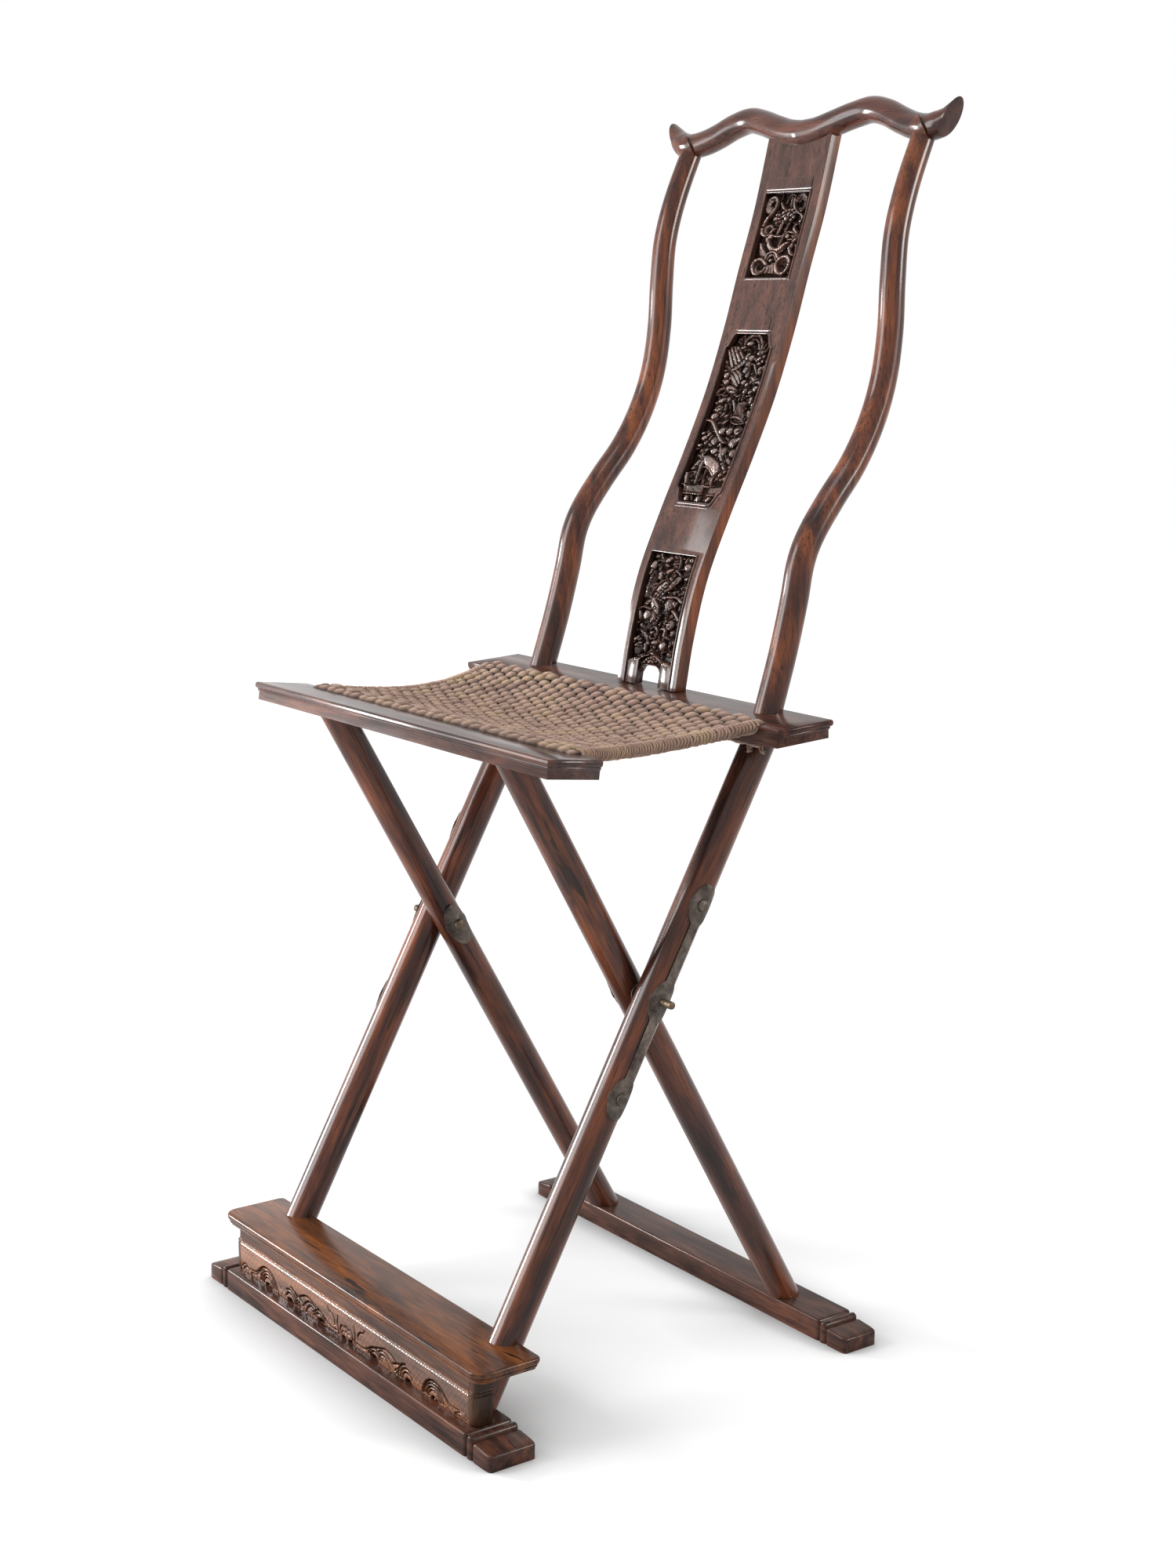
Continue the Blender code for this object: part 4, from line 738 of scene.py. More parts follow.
iron = wrought_iron("old_iron", (58, 50, 46), (104, 94, 86))
pin_iron = wrought_iron("pin_iron", (62, 52, 44), (108, 92, 74))
for side, end in ENDS:
    strap = bent_plate(
        "strap_" + end, side * OUTER_HALF, OUTER_LEAN, OUTER_RADIUS, STRAP_HALF, strap_width, side, 150,
    )
    finished(strap, "back_frame", iron, "iron", "pivot_strap_" + end)
    plate = bent_plate(
        "plate_" + end, side * INNER_HALF, INNER_LEAN, INNER_RADIUS, PLATE_HALF, plate_width, -side, 50,
    )
    finished(plate, "front_frame", iron, "iron", "pivot_plate_" + end)
    for height, along in (("upper", NAIL_REACH), ("lower", -NAIL_REACH)):
        spot = PINS + Vector((
            side * (OUTER_HALF + 0.0162), -math.sin(OUTER_LEAN) * along, math.cos(OUTER_LEAN) * along,
        ))
        nail = spun("nail_" + height + "_" + end, NAIL, spot, (side, 0.0, 0.0))
        finished(nail, "back_frame", iron, "iron", "strap_nail_" + height + "_" + end)
    pin = spun("pin_" + end, PIN, PINS, (side, 0.0, 0.0))
    finished(pin, "back_frame", pin_iron, "iron", "pivot_pin_" + end)
    washer = spun("washer_" + end, WASHER, PINS, (side, 0.0, 0.0))
    finished(washer, "back_frame", iron, "iron", "pivot_washer_" + end)


# Splat: one board sawn to a long S, tenoned between the rear rail and the crest rail,
# with three windows. A fine raised bead runs round every window.
SPLAT_HALF = 0.0425
SPLAT_THICK = 0.0125
SPLAT_FOOT_Z = 0.57697
SPLAT_HEAD_Z = crest_point(0.0).z
SPLAT_FOOT_FRONT = POST_FOOT.y - 0.0037
SPLAT_RAKE = crest_point(0.0).y - 0.0028 - SPLAT_FOOT_FRONT
SPLAT_CURVE_SHARES = (
    (0.00, 0.000), (0.09, 0.046), (0.20, 0.133), (0.31, 0.276), (0.42, 0.436),
    (0.53, 0.583), (0.645, 0.704), (0.755, 0.801), (0.865, 0.903), (1.00, 1.000),
)
TOP_WINDOW = (0.0300, 0.9445, 1.0215)
MIDDLE_WINDOW = (0.0310, 0.7420, 0.8940)
BOTTOM_WINDOW = (0.0320, 0.5770, 0.6965)
BOTTOM_SLOT_FOOT = 0.5600
WINDOW_PLAY = 0.0003


def splat_front(z):
    """How far back the splat's front face is at a height."""
    share = min(max((z - SPLAT_FOOT_Z) / (SPLAT_HEAD_Z - SPLAT_FOOT_Z), 0.0), 1.0)
    return SPLAT_FOOT_FRONT + SPLAT_RAKE * shares_value(SPLAT_CURVE_SHARES, share)


def middle_outline(grow):
    """The middle window's outline, with its corners cut back in a slant and two steps."""
    half, sill, head = MIDDLE_WINDOW
    half, sill, head = half + grow, sill - grow, head + grow
    corner = (
        (half, head - 0.0135), (half - 0.0012, head - 0.0120), (half - 0.0030, head - 0.0115),
        (half - 0.0068, head - 0.0030), (half - 0.0080, head - 0.0012), (half - 0.0100, head),
    )
    upper = [(-x, z) for x, z in corner] + [(x, z) for x, z in reversed(corner)]
    return upper + [(x, sill + head - z) for x, z in reversed(upper)]


def box_outline(window, grow):
    half, sill, head = window
    half, sill, head = half + grow, sill - grow, head + grow
    return [(-half, head), (half, head), (half, sill), (-half, sill)]


def flat_prism(name, outline, front, back):
    """A flat upright plate of an outline given as (x, z), for a window or a panel."""
    circle = {"vertices": len(outline), "radius": 0.01, "fill_type": "NGON"}
    plate = added(name, bpy.ops.mesh.primitive_circle_add, **circle)
    for corner, (x, z) in zip(plate.data.vertices, outline):
        corner.co = (x, front, z)
    bpy.ops.object.mode_set(mode="EDIT")
    bpy.ops.mesh.select_all(action="SELECT")
    bpy.ops.mesh.extrude_region_move(TRANSFORM_OT_translate={"value": (0.0, back - front, 0.0)})
    bpy.ops.object.mode_set(mode="OBJECT")
    close_up()
    return plate


def bend_to_splat(piece):
    """Moves a flat plate's corners back to the splat's curve."""
    for corner in piece.data.vertices:
        corner.co.y += splat_front(corner.co.z)


splat_wood = polished_wood("splat_wood", ALONG_Z, (52, 34, 30), (72, 48, 41), (88, 58, 48), 0.15, 0.20)
# The side edges get a lighter, warmer copy of the splat's wood: painted light on them.
side_light_wood = polished_wood(
    "splat_edge_wood", ALONG_Z, (52, 28, 19), (90, 48, 29), (122, 68, 38), 0.4, 0.26, shine=0.8,
)
board_outline = box_outline((SPLAT_HALF, SPLAT_FOOT_Z, SPLAT_HEAD_Z), 0.0)
splat = flat_prism("splat_carved_board", board_outline, 0.0, SPLAT_THICK)
for hole in (
    box_outline(TOP_WINDOW, WINDOW_PLAY), middle_outline(WINDOW_PLAY),
    box_outline((BOTTOM_WINDOW[0], BOTTOM_SLOT_FOOT, BOTTOM_WINDOW[2]), WINDOW_PLAY),
):
    cut_away(splat, flat_prism("window", hole, -0.004, SPLAT_THICK + 0.004))
soften(splat, 0.0007, 3, 50.0)
levels = [SPLAT_FOOT_Z + (SPLAT_HEAD_Z - SPLAT_FOOT_Z) * k / 96.0 for k in range(1, 96)]
slice_at([(0.0, 0.0, z + 0.000013) for z in levels], UP)
bend_to_splat(splat)
finished(splat, "back_frame", splat_wood, "dark_hardwood", "splat_board")
# Painted light: the side faces take the lighter copy of the wood.
splat.data.materials.append(side_light_wood)
for face in splat.data.polygons:
    if abs(face.normal.x) > 0.6 and abs(face.center.x) > SPLAT_HALF - 0.002:
        face.material_index = 1


def bead(name, outline, closed, half_width, rise):
    """A fine half-round moulding that follows an outline on the splat's front."""
    loop = [Vector((x, 0.0, z)) for x, z in outline]
    finer = []
    for start, end in zip(loop, loop[1:] + loop[:1] if closed else loop[1:]):
        parts = max(1, round((end - start).length / 0.004))
        finer += [start.lerp(end, j / parts) for j in range(parts)]
    if not closed:
        finer.append(loop[-1])
    count, sides = len(finer), 9
    grid = {"x_subdivisions": sides - 1, "y_subdivisions": count if closed else count - 1, "size": 1.0}
    strip = added(name, bpy.ops.mesh.primitive_grid_add, **grid)
    for row in range(count + 1 if closed else count):
        here = finer[row % count]
        before = finer[row - 1] if closed or row > 0 else here
        after = finer[(row + 1) % count] if closed or row < count - 1 else here
        first = (here - before).normalized() if here != before else (after - here).normalized()
        second = (after - here).normalized() if after != here else first
        along = (first + second).normalized()
        across = along.cross(Vector((0.0, 1.0, 0.0)))
        stretch = 1.0 / max(0.5, along.dot(second))
        for column in range(sides):
            angle = math.pi * column / (sides - 1)
            spot = here + across * math.cos(angle) * half_width * stretch
            spot.y = splat_front(spot.z) - math.sin(angle) * rise
            strip.data.vertices[row * sides + column].co = spot
    close_up(0.00001)
    finished(strip, "back_frame", splat_wood, "dark_hardwood")


bead("top_window_bead", box_outline(TOP_WINDOW, 0.0008), True, 0.0011, 0.0011)
bead("middle_window_bead", middle_outline(0.0008), True, 0.0013, 0.0015)
bead("middle_window_bead_outer", middle_outline(0.0036), True, 0.0008, 0.0005)
half, sill, head = BOTTOM_WINDOW
half, foot, head = half + 0.0008, sill + 0.001, head + 0.0008
bead("bottom_window_bead", [(-half, foot), (-half, head), (half, head), (half, foot)], False, 0.0011, 0.0011)
for name, reach, head in (
    ("top", TOP_WINDOW[0], TOP_WINDOW[2]), ("middle", MIDDLE_WINDOW[0] - 0.010, MIDDLE_WINDOW[2]),
):
    bead(name + "_window_brow", [(-reach, head + 0.0080), (reach, head + 0.0080)], False, 0.0056, 0.0006)


# Seat: a hemp cord packed row by row over 29 warps, so that it shows as offset rows of
# plump loops, the first on the front rail's edge. It sags and draws in at mid span. The
# warps are the stretched sheet, and more cord is wrapped round both sides.
WARP_PITCH = 0.01370
WEFT_PITCH = 0.00535
SEAT_HALF = 0.1985
SEAT_WAIST = 0.0200
SEAT_SAG = 0.0150
SEAT_EDGE_SAG = 0.0085
STEPS_PER_WARP = 9
LOOP_RISE = 0.0029
LOOP_SKEW = 0.0008
FRONT_ROW_RISE = 0.70
FRONT_ROW_LIFT = 0.0024
END_LIFT = 0.0020
WARP_HALF = 0.0062
SIDE_LOOPS = 61
SIDE_LOOP_CORNERS = 12
SIDEWAYS = Vector((1.0, 0.0, 0.0))


def seat_place(across, share):
    """A place in the seat's middle surface: across as a share of its half width, and
    share from the front rail's lip, at 0, to the rear rail's, at 1."""
    front = FRONT_RAIL_MIDDLE + FRONT_RAIL_TURN @ Vector((0.0, FRONT_RAIL_HALF, -REBATE_DEPTH))
    rear = REAR_RAIL_MIDDLE + REAR_RAIL_TURN @ Vector((0.0, -REAR_RAIL_HALF, -REBATE_DEPTH))
    hang = math.sin(math.pi * min(max(share, 0.0), 1.0))
    spot = front.lerp(rear, share)
    spot.x = across * (SEAT_HALF - SEAT_WAIST * hang)
    spot.z += 0.0031 - hang * (SEAT_SAG + (SEAT_EDGE_SAG - SEAT_SAG) * across**2)
    return spot


def seat_run(across, share):
    """The way from the front rail to the rear one at a place in the seat."""
    return (seat_place(across, share + 0.01) - seat_place(across, share - 0.01)).normalized()


def woven_cord(name):
    """Khaki hemp cord: fine slanting fibres, with painted light on the crowns and painted shade in between."""
    material, tree, look = new_look(name)
    lay_map = node(tree, "ShaderNodeUVMap")
    lay_map.uv_map = "lay"
    slant = (0.0, 0.0, math.radians(-70.0))
    twist = node(tree, "ShaderNodeMapping", Vector=lay_map.outputs[0], Rotation=slant).outputs[0]
    waves = {"Scale": 230.0, "Distortion": 2.2, "Detail": 3.0, "Detail Scale": 1.6}
    strands = node(tree, "ShaderNodeTexWave", Vector=twist, **waves).outputs["Fac"]
    place = node(tree, "ShaderNodeTexCoord").outputs["Object"]
    fuzz = node(tree, "ShaderNodeTexNoise", Vector=place, Scale=900.0, Detail=4.0, Roughness=0.7)
    fuzz = fuzz.outputs["Fac"]
    worn = node(tree, "ShaderNodeTexNoise", Vector=place, Scale=34.0, Detail=3.0).outputs["Fac"]
    colour = ramp(tree, worn, (0.34, (136, 106, 91)), (0.52, (157, 127, 110)), (0.68, (166, 138, 109)))
    # The crown ramp is painted light on the loops' tops and painted shade in the dips and underneath.
    for shade in (
        ramp(tree, strands, (0.0, 0.60), (0.45, 1.02)), ramp(tree, fuzz, (0.35, 0.72), (0.62, 1.14)),
        ramp(tree, marked(tree, "crown"), (0.12, 0.22), (0.50, 0.62), (0.90, 1.12)),
    ):
        colour = mixed(tree, 1.0, colour, shade, "MULTIPLY")
    ridges = node(tree, "ShaderNodeBump", Height=strands, Strength=0.55, Distance=0.0005).outputs[0]
    fluff = node(tree, "ShaderNodeBump", Height=fuzz, Strength=0.35, Distance=0.0004, Normal=ridges)
    fill(tree, look, {
        "Base Color": colour, "Roughness": 0.88, "Specular IOR Level": 0.15, "Sheen Weight": 0.25,
        "Sheen Roughness": 0.5, "Normal": fluff.outputs[0],
    })
    return material


def tubes(name, runs, sides, closed=False):
    """Cords as one mesh. A run is a list of (place, side way, up way, half width, half
    height, crown), and its surface carries its own lay for the twist. crown is how much
    painted light a cord takes, less on its underside as painted shade."""
    spots, faces, lays, crowns = [], [], [], []
    for run in runs:
        base = len(spots)
        count = len(run)
        length = 0.0
        for k, (place, sideways, upwards, wide, high, crown) in enumerate(run):
            if k:
                length += (place - run[k - 1][0]).length
            for j in range(sides):
                angle = 2.0 * math.pi * (j + 0.5) / sides
                spots.append(place + sideways * (math.cos(angle) * wide) + upwards * (math.sin(angle) * high))
                lays.append((length, wide * angle))
                # Painted light and shade: the crown is full on a cord's top and falls off underneath.
                crowns.append(crown * (0.55 + 0.45 * math.sin(angle)))
        for k in range(count if closed else count - 1):
            for j in range(sides):
                i = (j + 1) % sides
                near, far = base + k * sides, base + ((k + 1) % count) * sides
                faces.append((near + j, near + i, far + i, far + j))
        if not closed:
            faces.append(tuple(range(base + sides - 1, base - 1, -1)))
            faces.append(tuple(range(base + (count - 1) * sides, base + count * sides)))
    mesh = bpy.data.meshes.new(name)
    mesh.from_pydata(spots, [], faces)
    layer = mesh.uv_layers.new(name="lay")
    loop_corners = np.empty(len(mesh.loops), np.int32)
    mesh.loops.foreach_get("vertex_index", loop_corners)
    layer.data.foreach_set("uv", np.array(lays, np.float32)[loop_corners].ravel())
    mesh.attributes.new("crown", "FLOAT", "POINT").data.foreach_set("value", np.array(crowns, np.float32))
    piece = bpy.data.objects.new(name, mesh)
    bpy.context.scene.collection.objects.link(piece)
    piece.select_set(True)
    bpy.context.view_layer.objects.active = piece
    close_up()
    return piece


cord = woven_cord("hemp_cord")
rows = int((seat_place(0.0, 1.0) - seat_place(0.0, 0.0)).length / WEFT_PITCH) + 1
warps = round(2.0 * SEAT_HALF / WARP_PITCH)
chance = random.Random(7)
weft_runs = []
for row in range(-1, rows + 1):
    front_row = row < 0
    share = row / (rows - 1)
    shift = row + 0.5 + chance.uniform(-0.10, 0.10)
    from_rail = min(max(share, 0.0), max(1.0 - share, 0.0))
    lift = FRONT_ROW_LIFT if front_row else END_LIFT * math.exp(-(from_rail / 0.05) ** 2)
    bold = FRONT_ROW_RISE if front_row else 1.20 - 0.20 * share
    sizes = [chance.uniform(0.84, 1.14) for k in range(warps + 3)]
    run = []
    for k in range(warps * STEPS_PER_WARP + 1):
        across = 2.0 * k / (warps * STEPS_PER_WARP) - 1.0
        phase = k / STEPS_PER_WARP + shift
        wave = math.sin(math.pi * phase)
        if front_row:
            wave = 0.04 + 0.96 * abs(wave)
        plump = abs(wave) ** 0.42 * sizes[int(phase - row + 1.0)]
        sideways = seat_run(across, share)
        edge = min(1.0, (1.0 - abs(across)) * 30.0)
        spot = seat_place(across, share)
        spot.z += LOOP_RISE * bold * math.copysign(plump, wave) * edge + lift
        spot += sideways * (chance.uniform(-0.0002, 0.0002) - LOOP_SKEW * math.cos(math.pi * phase) * edge)
        # Painted light on the loops' tops and painted shade where the cord dips under a warp.
        crown = 0.40 + 0.55 * wave if front_row else 0.25 + 0.75 * max(wave, 0.0) ** 0.5
        run.append((spot, sideways, UP, 0.0017 + 0.0034 * plump, 0.0014 + 0.0013 * plump, crown))
    weft_runs.append(run)
weave = tubes("seat_weave_cords", weft_runs, 8)
warp_runs = [
    [(seat_place((2.0 * k + 1.0) / warps - 1.0, j / 16.0), SIDEWAYS, UP, WARP_HALF, 0.0013, 0.42) for j in range(17)]
    for k in range(warps)
]
warp = tubes("seat_warp_cords", warp_runs, 4)
edges = []
for side, end in ENDS:
    loops = []
    for k in range(SIDE_LOOPS):
        share = k / (SIDE_LOOPS - 1.0)
        forwards = seat_run(side, share)
        outwards = side * SIDEWAYS
        lean = forwards * (0.0014 * chance.uniform(0.3, 1.7))
        swell = chance.uniform(-0.0003, 0.0003)
        middle = seat_place(side, share)
        ring = []
        for j in range(SIDE_LOOP_CORNERS):
            angle = 2.0 * math.pi * j / SIDE_LOOP_CORNERS
            ray = outwards * (math.cos(angle) * (0.0058 + swell)) + UP * (math.sin(angle) * (0.0041 + swell))
            place = middle + ray - outwards * 0.0030 + lean * math.sin(angle)
            ring.append((place, forwards, ray.normalized(), 0.00140, 0.0021, 0.95))
        loops.append(ring)
    edges.append(tubes("seat_edge_cords_" + end, loops, 5, True))
bpy.ops.object.select_all(action="DESELECT")
for piece in [weave, *edges]:
    piece.select_set(True)
bpy.context.view_layer.objects.active = weave
bpy.ops.object.join()
warp.select_set(True)
bpy.ops.object.shade_smooth()
for piece in (weave, warp):
    piece.data.materials.append(cord)
    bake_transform(piece, "front_frame", "back_frame", start=seat_place(0.0, 0.0), end=seat_place(0.0, 1.0))
    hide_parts("seat_weave")


# Lacing: the same cord, run along under both rails and up through their holes to hold the
# seat. In front it is in three runs between the legs. A few loose ends hang at the rear.
LACING_RADIUS = 0.0021
HOLE_PITCH = 0.0201
LACED_HALF = 0.2010


def lacing(middle, tilt, across, start, end):
    """One run of cord under a rail, drawn up a little at every hole."""
    sideways, down = tilt @ Vector((0.0, 1.0, 0.0)), tilt @ -UP
    count = max(4, round((end - start) / 0.0022))
    run = []
    for k in range(count + 1):
        x = start + (end - start) * k / count
        hang = abs(math.sin(math.pi * x / HOLE_PITCH))
        depth = RAIL_THICK + 0.0022 + 0.0005 * hang
        spot = middle + tilt @ Vector((x, across + 0.0003 * math.sin(x * 700.0), -depth))
        run.append((spot, sideways, down, LACING_RADIUS, LACING_RADIUS * (0.75 + 0.25 * hang), 1.0))
    return run


def loose_end(middle, tilt, places):
    """A frayed end or a loop of cord that hangs from the lacing. Places are on the rail."""
    spots = [middle + tilt @ Vector(place) for place in places]
    run = []
    for k, spot in enumerate(spots):
        along = (spots[min(k + 1, len(spots) - 1)] - spots[max(k - 1, 0)]).normalized()
        sideways = along.cross(Vector((0.3, 1.0, 0.2))).normalized()
        run.append((spot, sideways, along.cross(sideways), 0.0014, 0.0014, 0.7))
    return run


for end, start, stop in (
    ("left", -LACED_HALF, -0.1537), ("middle", -0.1219, 0.1219), ("right", 0.1537, LACED_HALF),
):
    runs = [lacing(FRONT_RAIL_MIDDLE, FRONT_RAIL_TURN, 0.0214, start, stop)]
    if end == "middle":
        runs += [loose_end(FRONT_RAIL_MIDDLE, FRONT_RAIL_TURN, places) for places in (
            [(0.0980, 0.0210, -0.0182), (0.1040, 0.0200, -0.0225), (0.1100, 0.0190, -0.0250),
             (0.1160, 0.0185, -0.0245), (0.1200, 0.0190, -0.0215), (0.1205, 0.0205, -0.0185)],
            [(0.1010, 0.0170, -0.0180), (0.1060, 0.0165, -0.0210), (0.1120, 0.0160, -0.0222),
             (0.1180, 0.0165, -0.0200), (0.1210, 0.0175, -0.0175)],
        )]
    laced = tubes("lacing_front_" + end, runs, 8)
    finished(laced, "front_frame", cord, "seat_cord", "seat_lacing_front_" + end)
runs = [lacing(REAR_RAIL_MIDDLE, REAR_RAIL_TURN, -0.0249, -LACED_HALF, LACED_HALF)]
for x, lean, drop in (
    (0.1830, 0.004, 0.0060), (0.1880, -0.003, 0.0072), (0.1985, 0.005, 0.0056), (0.2030, 0.002, 0.0044),
):
    runs.append(loose_end(REAR_RAIL_MIDDLE, REAR_RAIL_TURN, [
        (x + lean * swing, y, -0.0183 - drop * fall)
        for swing, y, fall in ((0.0, -0.0249, 0.0), (0.2, -0.0255, 0.45), (0.7, -0.0262, 0.85), (1.4, -0.0262, 1.0))
    ]))
laced = tubes("lacing_rear", runs, 8)
finished(laced, "back_frame", cord, "seat_cord", "seat_lacing_rear")


# Top panel: pierced-looking relief let into the upper window, of ribbons that curl into
# rings, flower balls on two rods, a crescent bowl and a draped stand. Places are in mm.
ROUND = ((0.0, 0.35, 0.6, 0.8, 0.92, 1.0), (1.0, 0.96, 0.86, 0.68, 0.50, 0.28))
RIBBON = ((0.0, 0.25, 0.5, 0.78, 1.0), (0.66, 0.68, 0.98, 1.0, 0.42))
RIBBED = ((0.0, 0.13, 0.27, 0.41, 0.55, 0.69, 0.83, 1.0), (1.0, 0.66, 0.70, 1.0, 0.66, 0.72, 1.0, 0.35))
LEAF = ((0.0, 0.09, 0.22, 0.6, 1.0), (0.60, 0.74, 1.0, 0.86, 0.36))
FLAT = ((0.0, 0.75, 1.0), (1.0, 0.96, 0.50))
EYED = ((0.0, 0.16, 0.30, 0.55, 0.8, 1.0), (0.30, 0.45, 1.0, 0.92, 0.70, 0.30))
PANEL_FRONT = 0.0002
PANEL_BACK = 0.0087
PANEL_DEPTH = 0.0052


def carving_ground(half, height, foot=None, pitch=0.35):
    """The points of a panel's face from its sill up, and how far each stands up, none yet."""
    columns, rows = round(2.0 * half / pitch), round(height / pitch)
    x = np.repeat(np.linspace(-half, half, columns + 1)[None, :], rows + 1, 0)
    share = np.linspace(0.0, 1.0, rows + 1)[:, None]
    low = np.zeros(columns + 1) if foot is None else np.array([foot(place) for place in x[0]])
    return {"x": x, "z": low[None, :] + (height - low[None, :]) * share, "up": np.zeros_like(x)}


def lay(ground, near, away, share, top, profile, trench=0.9):
    """Lays a shape over what is carved there: a narrow dark trench round it, then its body."""
    up = ground["up"][near]
    cleared = up * np.clip(0.2 + 0.8 * away / trench, 0.2, 1.0)
    body = top * np.interp(share, profile[0], profile[1])
    ground["up"][near] = np.where(away > 0.0, cleared, body)


def stroke(ground, points, width, top=1.0, profile=ROUND, closed=False, trench=0.9):
    """A band along a smooth curve. A point is (x, z), or (x, z, half width) where that varies."""
    rows = np.array([(*point, width)[:3] for point in points], float)
    if closed:
        ring = np.vstack([rows[-1], rows, rows[0], rows[1]])
    else:
        ring = np.vstack([2.0 * rows[0] - rows[1], rows, 2.0 * rows[-1] - rows[-2]])
    t = np.linspace(0.0, 1.0, 7, endpoint=False)[:, None]
    parts = []
    for a, b, c, d in zip(ring, ring[1:], ring[2:], ring[3:]):
        bends = (2.0 * a - 5.0 * b + 4.0 * c - d) * t**2 + (3.0 * b - a - 3.0 * c + d) * t**3
        parts.append(0.5 * (2.0 * b + (c - a) * t + bends))
    line = np.vstack(parts + [ring[-2]])
    low, high = line.min(0), line.max(0)
    reach = high[2] + trench
    near = (ground["x"] > low[0] - reach) & (ground["x"] < high[0] + reach)
    near &= (ground["z"] > low[1] - reach) & (ground["z"] < high[1] + reach)
    x, z = ground["x"][near], ground["z"][near]
    away, share = np.full(x.shape, 99.0), np.ones(x.shape)
    for (ax, az, aw), (bx, bz, bw) in zip(line, line[1:]):
        dx, dz = bx - ax, bz - az
        along = np.clip(((x - ax) * dx + (z - az) * dz) / max(dx * dx + dz * dz, 1e-9), 0.0, 1.0)
        wide = np.maximum(aw + (bw - aw) * along, 0.15)
        gap = np.hypot(x - ax - dx * along, z - az - dz * along)
        better = gap - wide < away
        away[better] = (gap - wide)[better]
        share[better] = (gap / wide)[better]
    lay(ground, near, away, share, top, profile, trench)


def dome(ground, x, z, wide, high, top=1.0, turn=0.0, profile=ROUND, petals=0):
    """A rounded boss, or a flower where it has petals. wide and high are its half sizes."""
    across, upwards = ground["x"] - x, ground["z"] - z
    near = np.hypot(across, upwards) < max(wide, high) * 1.2 + 1.0
    across, upwards = across[near], upwards[near]
    angle = math.radians(turn)
    u = (across * math.cos(angle) + upwards * math.sin(angle)) / wide
    v = (upwards * math.cos(angle) - across * math.sin(angle)) / high
    share = np.hypot(u, v)
    if petals:
        waves = np.cos(petals * np.arctan2(v, u))
        share = share * (1.0 - 0.13 * waves)
    body = (profile[0], profile[1])
    lay(ground, near, (share - 1.0) * min(wide, high), share, top, body)
    if petals:
        up = ground["up"][near]
        seams = np.clip((waves + 1.0) * 1.6, 0.45, 1.0)
        ground["up"][near] = np.where((share > 0.34) & (share < 1.0), up * seams, up)


def patch(ground, corners, top=1.0, round_over=1.2):
    """A flat-topped shape with straight sides and rounded arrises."""
    corners = np.array(corners, float)
    low, high = corners.min(0), corners.max(0)
    near = (ground["x"] > low[0] - 1.0) & (ground["x"] < high[0] + 1.0)
    near &= (ground["z"] > low[1] - 1.0) & (ground["z"] < high[1] + 1.0)
    x, z = ground["x"][near], ground["z"][near]
    inside, gap = np.zeros(x.shape, bool), np.full(x.shape, 99.0)
    for (ax, az), (bx, bz) in zip(corners, np.roll(corners, -1, 0)):
        dx, dz = bx - ax, bz - az
        along = np.clip(((x - ax) * dx + (z - az) * dz) / (dx * dx + dz * dz), 0.0, 1.0)
        gap = np.minimum(gap, np.hypot(x - ax - dx * along, z - az - dz * along))
        if dz != 0.0:
            crossed = (z >= min(az, bz)) & (z < max(az, bz)) & (x < ax + (z - az) * dx / dz)
            inside ^= crossed
    share = 1.0 - np.clip(gap / round_over, 0.0, 1.0)
    lay(ground, near, np.where(inside, -gap, gap), share, top, FLAT)


def carve(ground, shapes):
    """Carves shapes in turn: a stroke where the first item is a list of points, else a boss."""
    for shape in shapes:
        (stroke if isinstance(shape[0], list) else dome)(ground, *shape)


def undergrowth(ground, seed, count, low, high):
    """Small leaves, tendrils and buds that fill the ground, lower than the main shapes."""
    luck = random.Random(seed)
    half, foot, head = ground["x"].max() - 3.0, ground["z"].min() + 2.5, ground["z"].max() - 2.5
    for k in range(count):
        x, z = luck.uniform(-half, half), luck.uniform(foot, head)
        turn, top = luck.uniform(0.0, 180.0), luck.uniform(low, high)
        if k % 3 == 0:
            reach = luck.uniform(2.5, 5.0)
            across, upwards = reach * math.cos(math.radians(turn)), reach * math.sin(math.radians(turn))
            ends = (x - across, z - upwards, 0.5), (x + across, z + upwards, 0.5)
            bend = (x + upwards * 0.3, z - across * 0.3, 1.0)
            stroke(ground, [ends[0], bend, ends[1]], 0.8, top, ROUND, False, 0.5)
        elif k % 3 == 1:
            dome(ground, x, z, luck.uniform(1.2, 1.8), luck.uniform(2.4, 3.6), top, turn, LEAF)
        else:
            dome(ground, x, z, luck.uniform(1.2, 2.0), luck.uniform(1.2, 2.0), top)


def worn_by_hand(ground, seed, amount=0.05):
    """Softens the carving a little and gives it the unevenness of gouge work."""
    up = ground["up"]
    soft = up.copy()
    soft[1:-1, 1:-1] = (
        4.0 * up[1:-1, 1:-1] + 2.0 * (up[:-2, 1:-1] + up[2:, 1:-1] + up[1:-1, :-2] + up[1:-1, 2:])
        + up[:-2, :-2] + up[:-2, 2:] + up[2:, :-2] + up[2:, 2:]
    ) / 16.0
    x, z = ground["x"], ground["z"]
    uneven = np.sin(x * 1.9 + seed) * np.sin(z * 1.6 - seed) + 0.6 * np.sin(x * 4.3 - z * 3.1 + 2.0 * seed)
    ground["up"] = soft + amount * uneven * np.clip(soft * 2.0, 0.0, 1.0) + 0.03 * np.sin(x * 1.1) * np.cos(z * 0.9)


